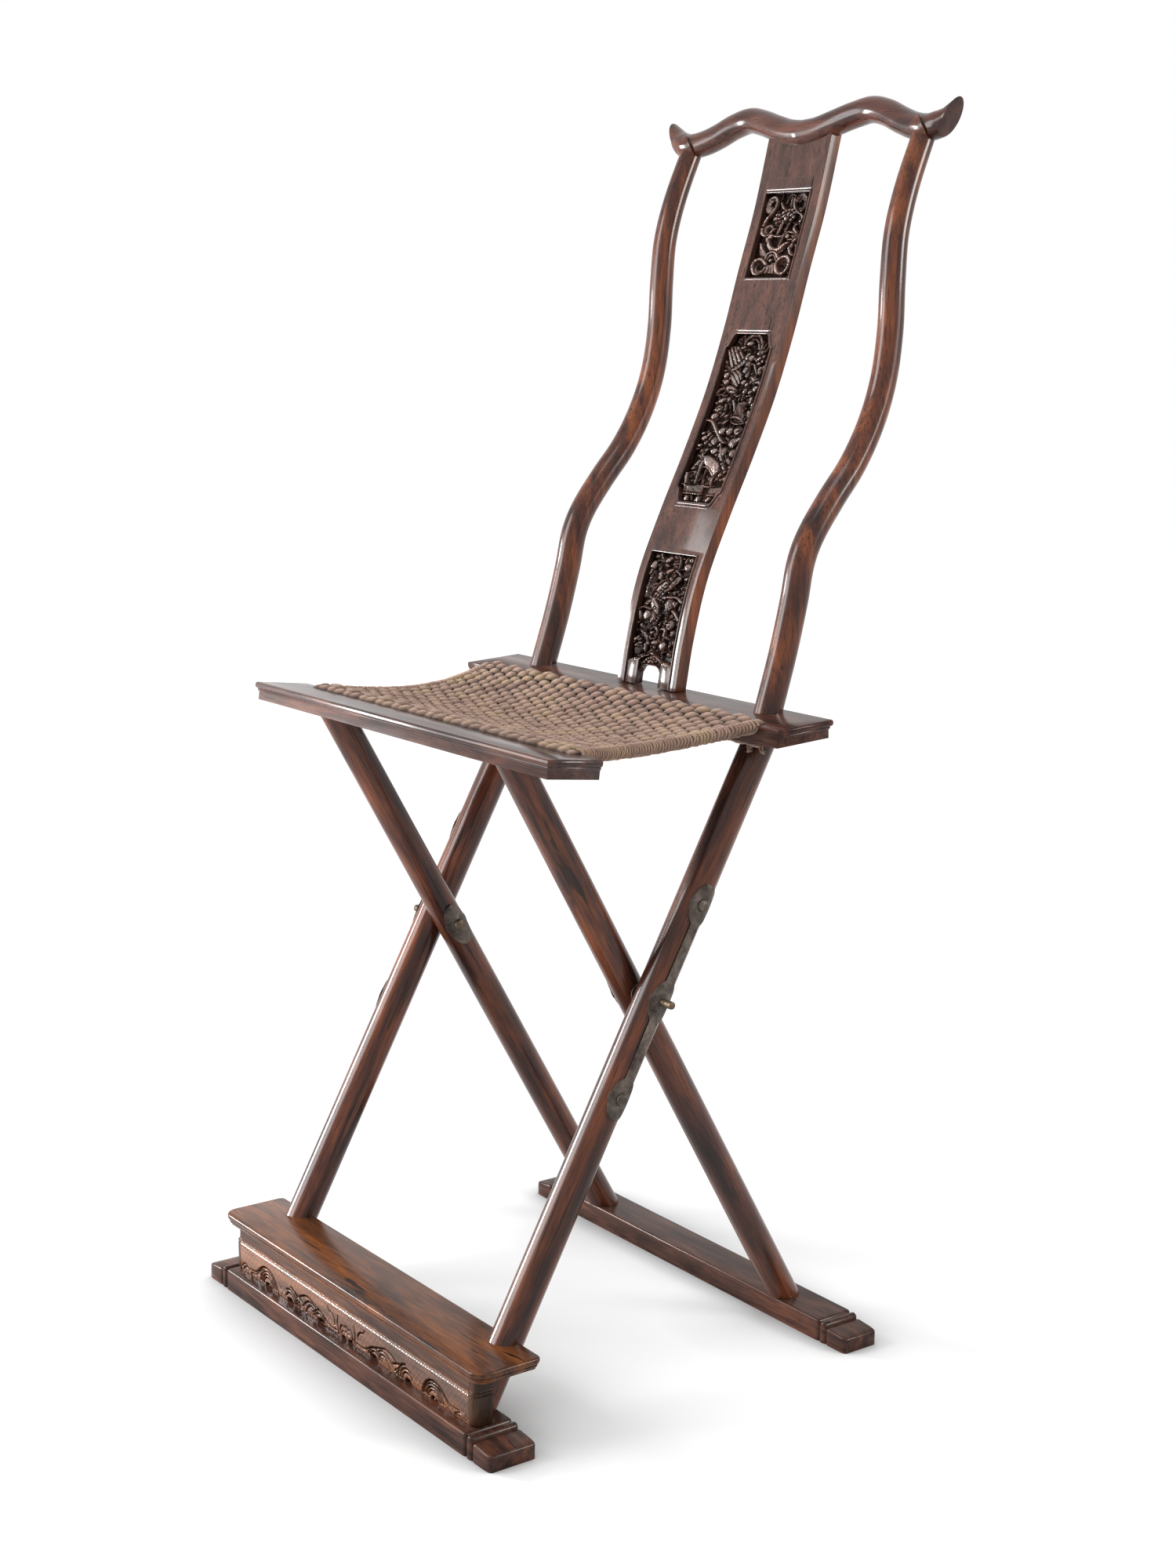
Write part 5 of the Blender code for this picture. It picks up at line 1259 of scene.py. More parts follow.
def carved_board(name, ground, sill, face_at, depth, back_at):
    """A closed board with the carving on its front. Its points keep their relief, which the finish turns into painted
    shade in the hollows and painted light on the tops.
    """
    rows, columns = ground["x"].shape
    grid = {"x_subdivisions": columns - 1, "y_subdivisions": rows - 1, "size": 1.0}
    board = added(name, bpy.ops.mesh.primitive_grid_add, **grid)
    x, z = ground["x"].ravel() / 1000.0, sill + ground["z"].ravel() / 1000.0
    up = ground["up"].ravel()
    y = np.array([face_at(height) for height in z]) + (1.0 - up) * depth
    board.data.vertices.foreach_set("co", np.stack([x, y, z], -1).astype(np.float32).ravel())
    board.data.attributes.new("relief", "FLOAT", "POINT").data.foreach_set("value", up.astype(np.float32))
    shape = bmesh.new()
    shape.from_mesh(board.data)
    rim = [edge for edge in shape.edges if edge.is_boundary]
    behind = bmesh.ops.extrude_edge_only(shape, edges=rim)["geom"]
    behind = [part for part in behind if isinstance(part, bmesh.types.BMVert)]
    relief = shape.verts.layers.float["relief"]
    for corner in behind:
        corner.co.y = back_at(corner.co.z)
        corner[relief] = 0.6
    half = max(corner.co.x for corner in behind)
    left = sorted((c for c in behind if c.co.x < -half + 1e-6), key=lambda c: c.co.z)
    right = sorted((c for c in behind if c.co.x > half - 1e-6), key=lambda c: c.co.z)
    inner = [c for c in behind if abs(c.co.x) < half - 1e-6]
    middle_z = (max(z) + min(z)) / 2.0
    lower = sorted((c for c in inner if c.co.z < middle_z), key=lambda c: c.co.x)
    upper = sorted((c for c in inner if c.co.z >= middle_z), key=lambda c: c.co.x)
    start = 1
    while left[start].co.z < max(c.co.z for c in lower) + 1e-6:
        start += 1
    shape.faces.new([*reversed(left[:start + 1]), *lower, *right[:start + 1]])
    for k in range(start, len(left) - 2):
        shape.faces.new((left[k], right[k], right[k + 1], left[k + 1]))
    shape.faces.new([left[-2], right[-2], right[-1], *reversed(upper), left[-1]])
    bmesh.ops.recalc_face_normals(shape, faces=shape.faces)
    shape.to_mesh(board.data)
    shape.free()
    return board


def panel_face(z):
    return splat_front(z) + PANEL_FRONT


def panel_back(z):
    return splat_front(z) + PANEL_BACK


def fit_panel(level, ground, seed, window):
    """Wears a carving a little, and lets its board into the splat's window."""
    worn_by_hand(ground, seed)
    panel = carved_board("panel_" + level + "_carved", ground, window[1], panel_face, PANEL_DEPTH, panel_back)
    finished(panel, "back_frame", panel_wood, "dark_hardwood", "splat_panel_" + level)


panel_wood = polished_wood(
    "panel_wood", ALONG_Z, (66, 46, 40), (90, 65, 56), (110, 80, 68), 0.0, 0.18, True,
)

ground = carving_ground(30.0, 77.0)
undergrowth(ground, 5, 80, 0.22, 0.42)
carve(ground, [
    ([(-2, 67), (0.5, 72), (4, 75), (9, 73), (11, 68)], 1.0, 0.60),
    ([(5.5, 72), (6, 66), (5.5, 60), (5, 57)], 1.5, 0.78, RIBBON),
    ([(-8, 68, 0.8), (-5, 64, 1.1), (-1, 60.5, 1.5), (1, 58, 1.8)], 1.2, 0.85),
    ([(-1, 51), (-3, 45), (-5, 40)], 2.0, 0.62, RIBBED),
    ([(10, 52), (8, 46), (5.5, 38), (3, 28)], 1.15, 0.88, RIBBON),
    ([(-18, 65), (-20, 61.5), (-24.5, 62), (-25.5, 67), (-22.5, 71), (-18.5, 70.5), (-16, 67)], 3.1, 0.80, RIBBED),
    ([(-22, 72.5), (-17, 73), (-13.5, 69.5), (-14, 63.5), (-18, 58), (-22, 54), (-24.5, 49.5), (-25.5, 46)],
     1.35, 1.0),
    (-18, 66.5, 2.4, 3.0, 0.08),
    ([(-22.5, 45), (-17, 46.5), (-13.5, 43), (-16, 39.5), (-20.5, 40), (-23, 43)], 2.2, 0.62, RIBBED, True),
    ([(-26, 45), (-25, 40.5), (-20, 38), (-15, 39), (-11.5, 42), (-9, 44)], 1.25, 0.95),
    (-17.5, 43.3, 3.2, 2.2, 0.06),
    ([(13, 69), (16, 73), (21, 74), (25, 70.5), (25.5, 64.5), (22, 60.5)], 1.7, 0.92, RIBBON),
    ([(16, 68), (19, 71), (22.5, 68.5), (22, 63.5), (18, 62)], 1.3, 0.66, RIBBON),
    (19.3, 66.0, 2.0, 2.6, 0.05),
    ([(10, 71.5), (10.5, 66), (13.5, 61), (18, 58.3), (22, 56.8), (25.5, 54), (24.5, 51), (20.5, 48.2), (18, 46),
     (18.5, 43), (21.5, 40.5), (24.5, 37)], 1.15, 0.95),
])
for turn in (1.0, 2.4):
    stroke(ground, [(18.5 + turn, 49.5), (22 + turn * 0.6, 47.5), (23 + turn * 0.5, 44.5)], 0.75, 0.62)
carve(ground, [
    ([(7.5, 38.5), (11.5, 41.2), (17.5, 40.2), (22, 37.8), (24.5, 36)], 1.05, 0.95),
    ([(9.5, 35.3), (15, 34.3), (20, 35.0), (24.5, 35)], 1.0, 0.80),
    (17.5, 37.3, 4.0, 1.7, 0.50, -6.0), (11.3, 37.3, 2.7, 2.6, 1.0),
    ([(25, 34.5), (20.5, 32.5), (18, 28.5), (18.8, 24.5), (22, 21.3), (26, 20)], 1.1, 0.95),
    (20.3, 28.8, 1.9, 2.7, 0.85), ([(23.5, 30), (25.5, 27), (25, 24)], 0.8, 0.55),
    ([(-23.5, 31, 0.9), (-20, 25.5, 1.9), (-15, 21.5, 2.1), (-11, 18.5, 0.8)], 1.5, 0.78, LEAF),
    ([(-24, 26, 0.7), (-21, 22, 1.5), (-17, 19, 0.7)], 1.2, 0.45, LEAF),
])
bowl = [(-12.5, 30), (-9, 23), (-3, 20.5), (3, 20.5), (9, 24), (14, 31), (8, 28), (0, 25), (-6, 26.5)]
patch(ground, bowl, 0.62, 2.0)
carve(ground, [
    ([(-13.5, 34.5, 1.5), (-11, 29.5, 1.9), (-6, 26, 2.2), (0, 24.8, 2.3), (6, 27, 2.1), (11, 30.5, 1.6),
     (14.5, 31.5, 1.0)], 2.0, 1.0),
    (-1.8, 33.0, 8.0, 3.8, 0.05),
    ([(-7.5, 38), (-2, 37.3), (4.5, 37.6)], 1.05, 1.0),
    ([(5.8, 39), (4.3, 33.5), (3, 28.5)], 1.05, 0.92, RIBBON),
    (-15.5, 34.5, 2.6, 3.4, 0.80, 25.0), (-12.0, 37.5, 3.0, 2.6, 1.0),
])
for x, z, size in (
    (-11, 56.5, 2.2), (-7.5, 56.5, 2.0), (-13, 53.5, 1.9), (-9.5, 50, 2.0), (-5.8, 51.2, 1.9), (-5, 54.5, 1.7),
):
    dome(ground, x, z, size, size, 0.78)
carve(ground, [
    (-10.8, 53.3, 2.1, 2.1, 1.0), (-6.6, 53.3, 1.6, 1.6, 0.95),
])
for x, z, size, top in (
    (-2.5, 58.5, 2.4, 0.85), (1.0, 60.5, 2.1, 0.90), (5.2, 60.3, 2.3, 0.90), (9.2, 60.8, 2.1, 0.82),
    (12.3, 58.4, 2.2, 0.80),
    (12.6, 54.4, 2.1, 0.85), (10, 52, 2.0, 0.90), (-0.2, 55.5, 2.4, 0.90), (3.2, 53.4, 2.7, 1.0),
    (5.5, 57, 2.5, 0.95), (9.0, 56.4, 2.0, 0.80),
):
    dome(ground, x, z, size, size, top)
carve(ground, [
    ([(-10.5, 17), (-8.5, 21.5), (-3.5, 23.3), (1.5, 22.2), (5, 19), (7, 16)], 1.15, 0.98),
    ([(-8, 16), (-6, 19.5), (-2.8, 20.6), (1, 19.5), (3.5, 16.5), (5, 14)], 0.95, 0.82),
    (-2.8, 15.6, 2.0, 1.9, 1.0),
])
patch(ground, [(-8, 11), (1.5, 11.5), (5.5, 4), (-13, 4)], 0.72, 1.0)
for start, end in (
    ((-6.5, 11), (-11.5, 4.0)), ((-3.6, 11), (-4.6, 4.0)), ((-0.5, 11.3), (0.8, 4.0)), ((1.2, 12.5), (4.6, 4.0)),
     ((3.2, 13), (7.8, 3.6)), ((5.0, 13), (10.8, 3.4)),
):
    bend = ((start[0] + end[0]) / 2 + 0.5, (start[1] + end[1]) / 2)
    stroke(ground, [start, bend, end], 0.95, 1.0)
carve(ground, [
    ([(-8, 12), (-13, 15.5), (-19, 17.2), (-25, 14.5), (-26, 9.5), (-22.5, 4.8), (-17, 3.6), (-13, 5)], 1.55, 1.0),
    ([(-18, 12.8), (-21.5, 10.5), (-21, 6.8), (-16.5, 5.4), (-12.5, 7)], 1.1, 0.68, RIBBON),
    (-16.2, 10.2, 3.9, 2.4, 0.05),
    ([(6, 11.5), (8.5, 16.5), (13.5, 19), (19, 18.5), (23, 14.5), (23.2, 9), (19, 4.6), (13.5, 3.6), (8.5, 6)],
     1.5, 1.0, ROUND, True),
    ([(9.5, 11), (12, 15), (16.5, 16), (20, 12.5)], 0.75, 0.55),
    ([(12, 12), (14.5, 13.6), (17.5, 12.8)], 0.6, 0.42),
])
fit_panel("top", ground, 0.7, TOP_WINDOW)


# Middle panel: a garden scene in deep relief behind the stepped frame. A plumed bird
# comes down under clouds, over peaches, a bell-shaped vase and an animal by a low fence.
ground = carving_ground(31.0, 152.0)
undergrowth(ground, 8, 260, 0.38, 0.68)
for x, z, size in ((-20, 148, 2.6), (-15.5, 146.5, 1.8), (-23.5, 145.5, 1.7), (-12, 149.5, 1.6)):
    dome(ground, x, z, size, size * 0.9, 0.62, 0.0, EYED)
carve(ground, [
    ([(-9, 141), (-7.5, 146), (-2.5, 149.5), (4, 150.5), (10.5, 149), (14.5, 144.5), (15, 141)], 1.4, 0.82, RIBBON),
    ([(-5.5, 140), (-4.5, 144), (0.5, 146.8), (6, 146.2), (10, 142.5), (10.5, 139)], 1.1, 0.62, RIBBON),
    (-1.5, 143, 4.6, 2.5, 1.0, 4.0), (-9.0, 139.3, 3.0, 1.5, 1.0, 8.0),
    ([(-8, 136.5), (-4, 137.8), (0, 137.3)], 0.9, 0.55),
])
for points in (
    [(14, 137, 1.1), (12, 140.5, 1.0), (11.2, 144, 0.5)], [(16.5, 138, 1.1), (16, 142, 1.0), (17.3, 145.5, 0.5)],
    [(19.5, 138, 1.1), (20.5, 141.5, 1.0), (22, 144.5, 0.5)], [(21.5, 135.5, 1.1), (24, 138, 1.0),
    (25.5, 141.5, 0.5)],
):
    stroke(ground, points, 1.0, 0.80)
for x, z, size, top in (
    (15.2, 134.6, 2.5, 1.0), (19.0, 135.4, 2.3, 0.95), (22.2, 131.6, 2.2, 0.90), (17.2, 129.6, 2.3, 1.0),
     (18.6, 125.2, 2.1, 1.0), (21.5, 127.6, 1.8, 0.80),
):
    dome(ground, x, z, size, size, top)
carve(ground, [
    ([(8.5, 130.3), (12.5, 129), (15, 127)], 0.8, 0.90),
    ([(12.5, 124.5), (16.5, 119.5), (19.5, 115.5)], 0.85, 0.85),
    (21.8, 119, 2.7, 4.4, 0.88, 10.0, LEAF), (25.4, 122, 1.6, 3.4, 0.70, -14.0, LEAF),
    ([(4.2, 131, 3.0), (3.0, 126, 3.4), (2.5, 120, 4.2), (5.0, 115, 3.2)], 3.2, 0.66),
])
for points in (
    [(-29, 137, 0.6), (-22, 128, 1.3), (-14.5, 118.5, 1.5)], [(-26, 139.5, 0.6), (-18, 130.2, 1.3), (-10, 121, 1.5)],
    [(-21.5, 140.3, 0.6), (-14, 131.8, 1.3), (-6, 123.5, 1.5)], [(-17, 140, 0.6), (-10, 133, 1.3),
    (-3.5, 126.5, 1.4)],
    [(-13, 136.8, 0.6), (-8, 132, 1.1), (-2, 128.2, 1.3)],
):
    stroke(ground, points, 1.3, 0.95, LEAF)
for k in range(5):
    dome(ground, -15 + 3.1 * k, 118.6 + 2.0 * k, 2.0, 2.3, 0.86, 40.0, RIBBED)
for points in (
    [(-15, 114, 1.2), (-9, 109.5, 2.0), (-2.5, 104.6, 0.9)], [(-13, 117, 1.0), (-6.5, 112.8, 1.8), (-0.5, 107, 0.9)],
    [(-9, 118.5, 0.8), (-4, 115.5, 1.4), (0.5, 110.5, 0.8)],
):
    stroke(ground, points, 1.5, 0.95, LEAF)
carve(ground, [
    (0.4, 131.2, 2.7, 4.2, 1.0, -8.0), (5.6, 130.2, 3.3, 3.1, 1.0), (2.2, 119.0, 2.9, 3.5, 0.98),
])
for x, z, size, top in (
    (-25, 118, 1.4, 0.9), (-21.8, 113.8, 2.9, 1.0), (-19, 107.6, 2.8, 1.0), (-23.5, 108.8, 1.8, 0.8),
    (-16, 111.5, 1.6, 0.7),
    (4.6, 108, 2.7, 0.95), (10.5, 106.3, 2.0, 1.0), (9.3, 100.4, 3.0, 0.72), (17.2, 99.2, 2.4, 0.82),
    (23.2, 102.8, 3.0, 0.98),
):
    dome(ground, x, z, size, size * 1.05, top)
carve(ground, [
    (17.0, 110.2, 5.0, 3.8, 0.98, 12.0, ROUND, 5),
    ([(12, 113.4, 0.5), (16, 112, 1.3), (20.5, 108, 0.6)], 1.1, 1.0, LEAF),
    ([(20, 108, 0.6), (24, 109, 1.4), (27.5, 106.5, 0.5)], 1.1, 0.85, LEAF),
    ([(-28, 97), (-25.5, 100.5), (-20, 102.5), (-14, 103)], 1.3, 0.70, RIBBON),
    (-9.8, 101.2, 8.8, 3.7, 0.90, -14.0), (-6.5, 99.2, 4.2, 1.7, 1.0, -12.0),
    ([(-27, 95.5), (-22, 96.5), (-17, 95.2), (-13, 96)], 0.9, 0.60),
    (-17.5, 91.2, 5.4, 2.6, 0.85, 16.0, LEAF), (-9.0, 92.8, 3.2, 2.0, 0.72, -30.0, LEAF),
])
for points in (
    [(-3, 97), (2, 95.5), (6, 97)], [(10, 97), (10.3, 92), (10.3, 90)], [(-2, 92), (3, 86), (6, 80)], [(-10, 88),
    (-8, 82), (-9, 76)],
    [(14, 96), (19, 96.5), (22, 92)],
):
    stroke(ground, points, 0.85, 0.80)
carve(ground, [
    (22.6, 92.0, 1.9, 4.8, 0.95, 18.0, LEAF), (26.0, 88.0, 1.6, 4.0, 0.70, -10.0, LEAF),
])
patch(ground, [(6.3, 90.5), (17.2, 91.5), (18.2, 82), (21.5, 73.5), (3.5, 76), (6.6, 83)], 0.80, 2.2)
for k in range(6):
    stroke(ground, [(8 + 1.8 * k, 89.5), (7.8 + 1.85 * k, 83), (6.2 + 2.4 * k, 77)], 0.72, 0.90, ROUND, False, 0.35)
carve(ground, [
    ([(3.2, 76), (8, 77.3), (15, 76.4), (22, 72.6)], 1.15, 1.0),
    ([(3.2, 74.5), (7, 72.2), (14, 71.0), (22.5, 71.8)], 0.9, 0.75),
    (11.5, 74.0, 6.8, 1.5, 0.22, -6.0), (-17.8, 83.0, 5.2, 4.2, 0.92, -8.0),
    (-16.8, 82.7, 2.4, 2.0, 1.0, 0.0, EYED), (-9.2, 79.0, 1.8, 2.4, 0.72), (-3.2, 77.5, 2.0, 1.8, 1.0),
    (-3.5, 71.8, 4.2, 1.8, 0.78, 28.0, LEAF), (-21.0, 77.0, 5.2, 3.2, 0.74, 14.0),
    (-18.5, 68.5, 7.0, 2.6, 0.12, -14.0), (25.2, 80.6, 1.7, 4.4, 0.85, 30.0, LEAF), (27.0, 73.5, 2.0, 2.4, 0.70),
])
for x, z, wide, high, top in (
    (-2.5, 64.0, 4.2, 3.6, 0.92), (8.0, 64.3, 3.9, 3.8, 0.90), (19.0, 65.2, 5.2, 4.2, 0.90),
    (-8.6, 54.8, 5.3, 4.6, 0.62),
    (18.0, 54.2, 4.8, 4.7, 0.85), (-22.6, 57.0, 3.1, 2.6, 0.95), (-18.2, 60.5, 2.4, 2.2, 0.75),
    (-26.2, 61.0, 1.8, 1.8, 0.90),
    (-18.8, 52.8, 2.2, 2.6, 0.70), (-13.0, 46.5, 2.2, 2.2, 0.86), (-3.0, 45.9, 4.3, 3.1, 0.88),
    (3.5, 43.0, 2.0, 1.6, 1.0),
    (22.0, 45.4, 4.4, 4.0, 0.66), (27.0, 50.5, 2.0, 3.0, 0.60), (-25.0, 50.2, 2.2, 1.7, 0.95),
    (-21.0, 45.5, 2.0, 2.0, 0.60),
):
    dome(ground, x, z, wide, high, top)
carve(ground, [
    (19.4, 66.4, 2.4, 1.6, 1.0), (9.0, 45.2, 4.6, 5.6, 0.74, -35.0), (24.6, 57.6, 3.0, 2.4, 0.95, -30.0, LEAF),
    (-14.5, 57.5, 1.6, 3.6, 0.72, -28.0, LEAF), (-12.4, 51.2, 3.6, 1.6, 0.66, -24.0, LEAF),
    ([(-27.5, 73), (-20.5, 72.2), (-13, 67.2), (-7.5, 62.6), (-2, 58.5), (4, 54.8), (8, 54)], 1.0, 1.0),
    ([(3.6, 53), (6.5, 47.5), (10, 41.5), (15, 35.8), (22, 29.5)], 0.85, 0.92),
    (21.0, 38.2, 4.8, 2.0, 0.62, -38.0, LEAF), (14.0, 35.2, 2.6, 1.4, 0.70, -38.0, LEAF),
    ([(10.8, 27, 2.4), (9.2, 20, 1.5), (10.6, 15, 1.2)], 2.0, 0.72),
    ([(-4.5, 33, 2.0), (-4.8, 25, 1.3), (-3.6, 16, 1.0)], 1.4, 0.42),
    ([(-13.4, 38.5, 2.2), (-9, 38.2, 4.0), (-1.5, 35.0, 5.0), (6.5, 31.6, 4.8), (10.8, 27.6, 2.6)], 4.6, 0.92),
    ([(-12.5, 36, 2.4), (-12.2, 27, 1.5), (-11.2, 17, 1.2)], 2.0, 0.88),
    ([(-9.0, 31.4), (-3.5, 31.6), (3, 29.0), (9.6, 24.5)], 0.75, 1.0, ROUND, False, 0.3),
    ([(-14, 39.5, 2.2), (-17.5, 36, 2.0), (-20.5, 31.5, 2.2), (-23.5, 29.0, 1.0)], 2.2, 0.80),
    (-19.2, 31.0, 1.3, 1.0, 0.40, 0.0, EYED),
])
for points in (
    [(-15, 40), (-17.5, 43.5), (-16.6, 47)], [(-16, 38.6), (-20.5, 41.5), (-22.5, 40.5)], [(-23, 26), (-18.5, 26.8),
     (-16.8, 23.5)],
):
    stroke(ground, points, 0.8, 0.72)
for x, z, size, top in (
    (18.8, 25.6, 2.3, 0.98), (22.8, 28.5, 1.9, 0.90), (25.8, 22.6, 2.4, 0.78), (14.8, 22.0, 2.0, 0.55),
     (21.0, 21.4, 1.8, 0.66), (26.5, 33.0, 1.9, 0.80), (4.8, 21.6, 2.6, 0.50),
):
    dome(ground, x, z, size, size * 0.85, top)
carve(ground, [
    ([(-27.5, 25, 1.1), (-25.6, 20, 1.4), (-23.6, 16, 0.7)], 1.2, 1.0),
    ([(-30, 15.5), (-24.5, 14.8), (-22.6, 12.6), (-22.4, 8.4)], 0.75, 0.90),
])
patch(ground, [(-21.5, 13.8), (1.8, 16.4), (3.0, 8.2), (-21.5, 8.2)], 0.60, 0.8)
patch(ground, [(11.2, 13.6), (27.5, 15.4), (27.5, 8.2), (11.2, 8.2)], 0.55, 0.8)
for k in range(13):
    x = -19.8 + 1.75 * k
    stroke(ground, [(x, 13.8 + 0.11 * k), (x + 1.5, 9.6)], 0.42, 0.92, ROUND, False, 0.3)
for k in range(8):
    x = 12.6 + 1.9 * k
    stroke(ground, [(x, 13.4 + 0.1 * k), (x + 1.4, 9.6)], 0.42, 0.80, ROUND, False, 0.3)
carve(ground, [
    ([(-23, 7.4), (-10, 7.6), (3.2, 7.6)], 0.75, 1.0), ([(10.6, 7.6), (20, 7.4), (28, 7.0)], 0.75, 0.95),
])
patch(ground, [(3.6, 14.4), (10.4, 14.4), (10.4, 4.0), (3.6, 4.0)], 0.10, 0.6)
carve(ground, [
    ([(3.2, 14.6), (10.8, 14.6)], 0.8, 1.0),
])
for x in (-14.5, 1.6, 16.6):
    patch(ground, [(x - 1.8, 5.8), (x + 1.8, 5.8), (x + 3.0, 1.0), (x - 3.0, 1.0)], 0.98, 1.4)
corner_gap = np.minimum(31.0 - np.abs(ground["x"]), np.minimum(ground["z"], 152.0 - ground["z"]))
cut_back = (31.0 - np.abs(ground["x"])) + np.minimum(ground["z"], 152.0 - ground["z"])
ground["up"] *= np.clip(corner_gap / 1.2, 0.0, 1.0) * np.clip((cut_back - 15.0) / 2.0, 0.0, 1.0)
fit_panel("middle", ground, 1.9, MIDDLE_WINDOW)


# Bottom panel: a bird dives among fruit, pods and leaves. A cusped and beaded lip closes
# the scene below, and the board runs on down in two small feet with an arch between them.
ARCH_HALF = 16.0
ARCH_SHARES = ((0.0, 18.0), (8.0, 18.0), (12.8, 15.8), (16.0, 10.8), (16.001, 10.8), (32.0, 10.8))
ground = carving_ground(32.0, 119.5, lambda x: float(np.interp(abs(x), *zip(*ARCH_SHARES))))
undergrowth(ground, 11, 200, 0.34, 0.62)
carve(ground, [
    (-25, 115, 4.0, 2.2, 0.62, 10.0),
    ([(-19, 118), (-15.5, 113), (-11.5, 110), (-5, 107.5)], 1.15, 0.80),
    ([(-22, 111.2), (-16.5, 111.8), (-12.5, 110.3)], 0.8, 0.72),
    (-6.5, 113.6, 6.2, 2.8, 0.80, 26.0, LEAF), (1.0, 116.2, 3.4, 1.8, 0.62, -20.0, LEAF),
    (4.2, 110.0, 4.0, 4.2, 0.80, 12.0, ROUND, 6), (4.0, 110.0, 1.4, 1.4, 0.95),
    ([(8.5, 117), (10.5, 112.5), (11.2, 107.5), (10.4, 103.6)], 1.1, 0.82),
    (17.2, 114.2, 2.0, 4.0, 0.66, -18.0, LEAF), (24.0, 115.2, 3.2, 2.5, 0.72, 10.0, EYED),
])
for x, z, wide, high, turn in ((-25.4, 106.5, 4.0, 5.0, 0.0), (22.2, 108.6, 4.8, 3.6, -24.0)):
    dome(ground, x, z, wide, high, 1.0, turn)
carve(ground, [
    ([(-25.6, 102.5, 1.8), (-26.0, 98.6, 0.4)], 1.0, 0.9),
    ([(8.4, 105.2), (13, 103.0), (16.5, 100.8), (21, 100.6), (27.5, 103.6)], 0.72, 0.92),
    ([(12, 105.6), (17, 106.6), (20, 105.8)], 0.6, 0.80),
    (20.0, 103.0, 5.2, 2.2, 0.14, -6.0), (24.5, 98.6, 3.6, 1.8, 0.66, 20.0, LEAF),
    (-1.2, 103.2, 5.4, 2.2, 0.96, 24.0, LEAF), (-12.2, 98.4, 2.1, 5.4, 0.92, 32.0, LEAF),
    (-15.6, 104.0, 1.2, 3.4, 0.70, 8.0, LEAF), (6.4, 99.8, 2.6, 1.8, 0.60, 0.0, EYED),
    (3.0, 96.8, 3.4, 1.6, 0.55, -32.0, LEAF),
    ([(-20.8, 101.5), (-23.6, 95), (-24.4, 86.5), (-23.2, 79)], 1.0, 0.95),
])
for k in range(4):
    x = -21.4 + 1.75 * k
    stroke(ground, [(x + 1.2, 100.5 - k), (x - 1.1, 93), (x - 1.2, 84), (x - 0.1, 78)], 0.62, 0.62, ROUND, False, 0.4)
carve(ground, [
    (-20.0, 73.8, 4.6, 2.4, 0.86, 24.0, EYED), (-27.0, 79.0, 2.4, 2.0, 0.45),
    ([(1.5, 85.5, 0.8), (7.5, 90.5, 2.4), (15.0, 97.2, 3.2)], 2.0, 0.90, FLAT),
])
for k in range(3):
    stroke(ground, [(3.5, 86.0 + k), (9.0, 90.0 + 1.3 * k), (15.0, 94.6 + 1.9 * k)], 0.45, 1.0, ROUND, False, 0.3)
for x, z, size in (
    (13.0, 85.2, 2.4), (17.4, 86.6, 2.0), (20.6, 84.6, 1.9), (24.6, 86.2, 3.0), (26.6, 91.0, 2.0),
     (22.2, 90.6, 1.8),
):
    dome(ground, x, z, size, size * 0.85, 0.66, 0.0, EYED)
carve(ground, [
    (8.2, 74.0, 6.6, 7.2, 0.50),
    ([(2.2, 78.6), (6.0, 80.8), (11.5, 81.0), (17, 81.7), (22.5, 80.4), (27.5, 77.6)], 1.1, 0.96),
    (19.6, 74.8, 1.7, 4.2, 0.88, -16.0, LEAF), (15.2, 76.2, 2.2, 2.8, 0.62),
    (24.8, 72.6, 2.0, 3.4, 0.55, 12.0, LEAF),
])
for x, z, size in ((9.2, 68.6, 1.6), (11.8, 70.6, 1.6), (14.4, 72.2, 1.5), (10.8, 67.0, 1.3), (2.4, 79.6, 2.0)):
    dome(ground, x, z, size, size, 0.95)
carve(ground, [
    ([(16.4, 69.6), (20.5, 68.2), (23.6, 65.4), (27.4, 61.8)], 1.05, 0.92),
    (15.5, 64.5, 3.6, 2.2, 0.45, 24.0, LEAF),
])
wing = [(0.5, 96.5), (-6.5, 94.0), (-13.2, 87.6), (-17.0, 79.2)]
wing += [(-10.0, 76.2), (-2.4, 75.6), (0.4, 82.0), (1.6, 90.0)]
patch(ground, wing, 0.62, 1.6)
for row in range(6):
    for place in range(4):
        share = (place + 0.5 * (row % 2)) / 3.5
        x = -13.8 + 13.0 * share + 0.55 * row
        z = 79.6 + 3.0 * row - 2.6 * share
        if x > -16.0 + 1.35 * (z - 79.0) and x < 1.2:
            dome(ground, x, z, 1.6, 1.9, 0.78 + 0.05 * row, 36.0)
carve(ground, [
    ([(0.0, 96.4), (-7.0, 93.6), (-13.4, 87.4), (-17.2, 79.4), (-11.5, 77.2)], 0.7, 1.0),
    ([(-13.2, 77.6, 1.6), (-11.0, 72.6, 3.4), (-7.4, 69.6, 3.6), (-2.2, 65.0, 0.5)], 3.0, 0.98),
    (-7.9, 70.0, 1.5, 1.2, 1.05, -20.0, EYED), (-12.0, 61.0, 6.6, 6.8, 0.55), (-17.8, 62.4, 5.2, 5.2, 1.0),
    ([(-29.5, 66.6), (-25.0, 69.4), (-19.0, 69.0), (-13.5, 68.4)], 0.95, 0.98),
    ([(-28.4, 65.2, 0.7), (-26.4, 61.2, 1.7), (-25.0, 57.2, 0.7)], 1.4, 1.0, LEAF),
    (-27.2, 55.0, 1.4, 1.2, 0.95),
])
for k in range(5):
    dome(ground, 0.8 - 1.15 * k, 63.6 - 2.3 * k, 1.35, 1.5, 0.90, 24.0)
carve(ground, [
    (7.2, 62.4, 3.0, 2.0, 0.30),
])
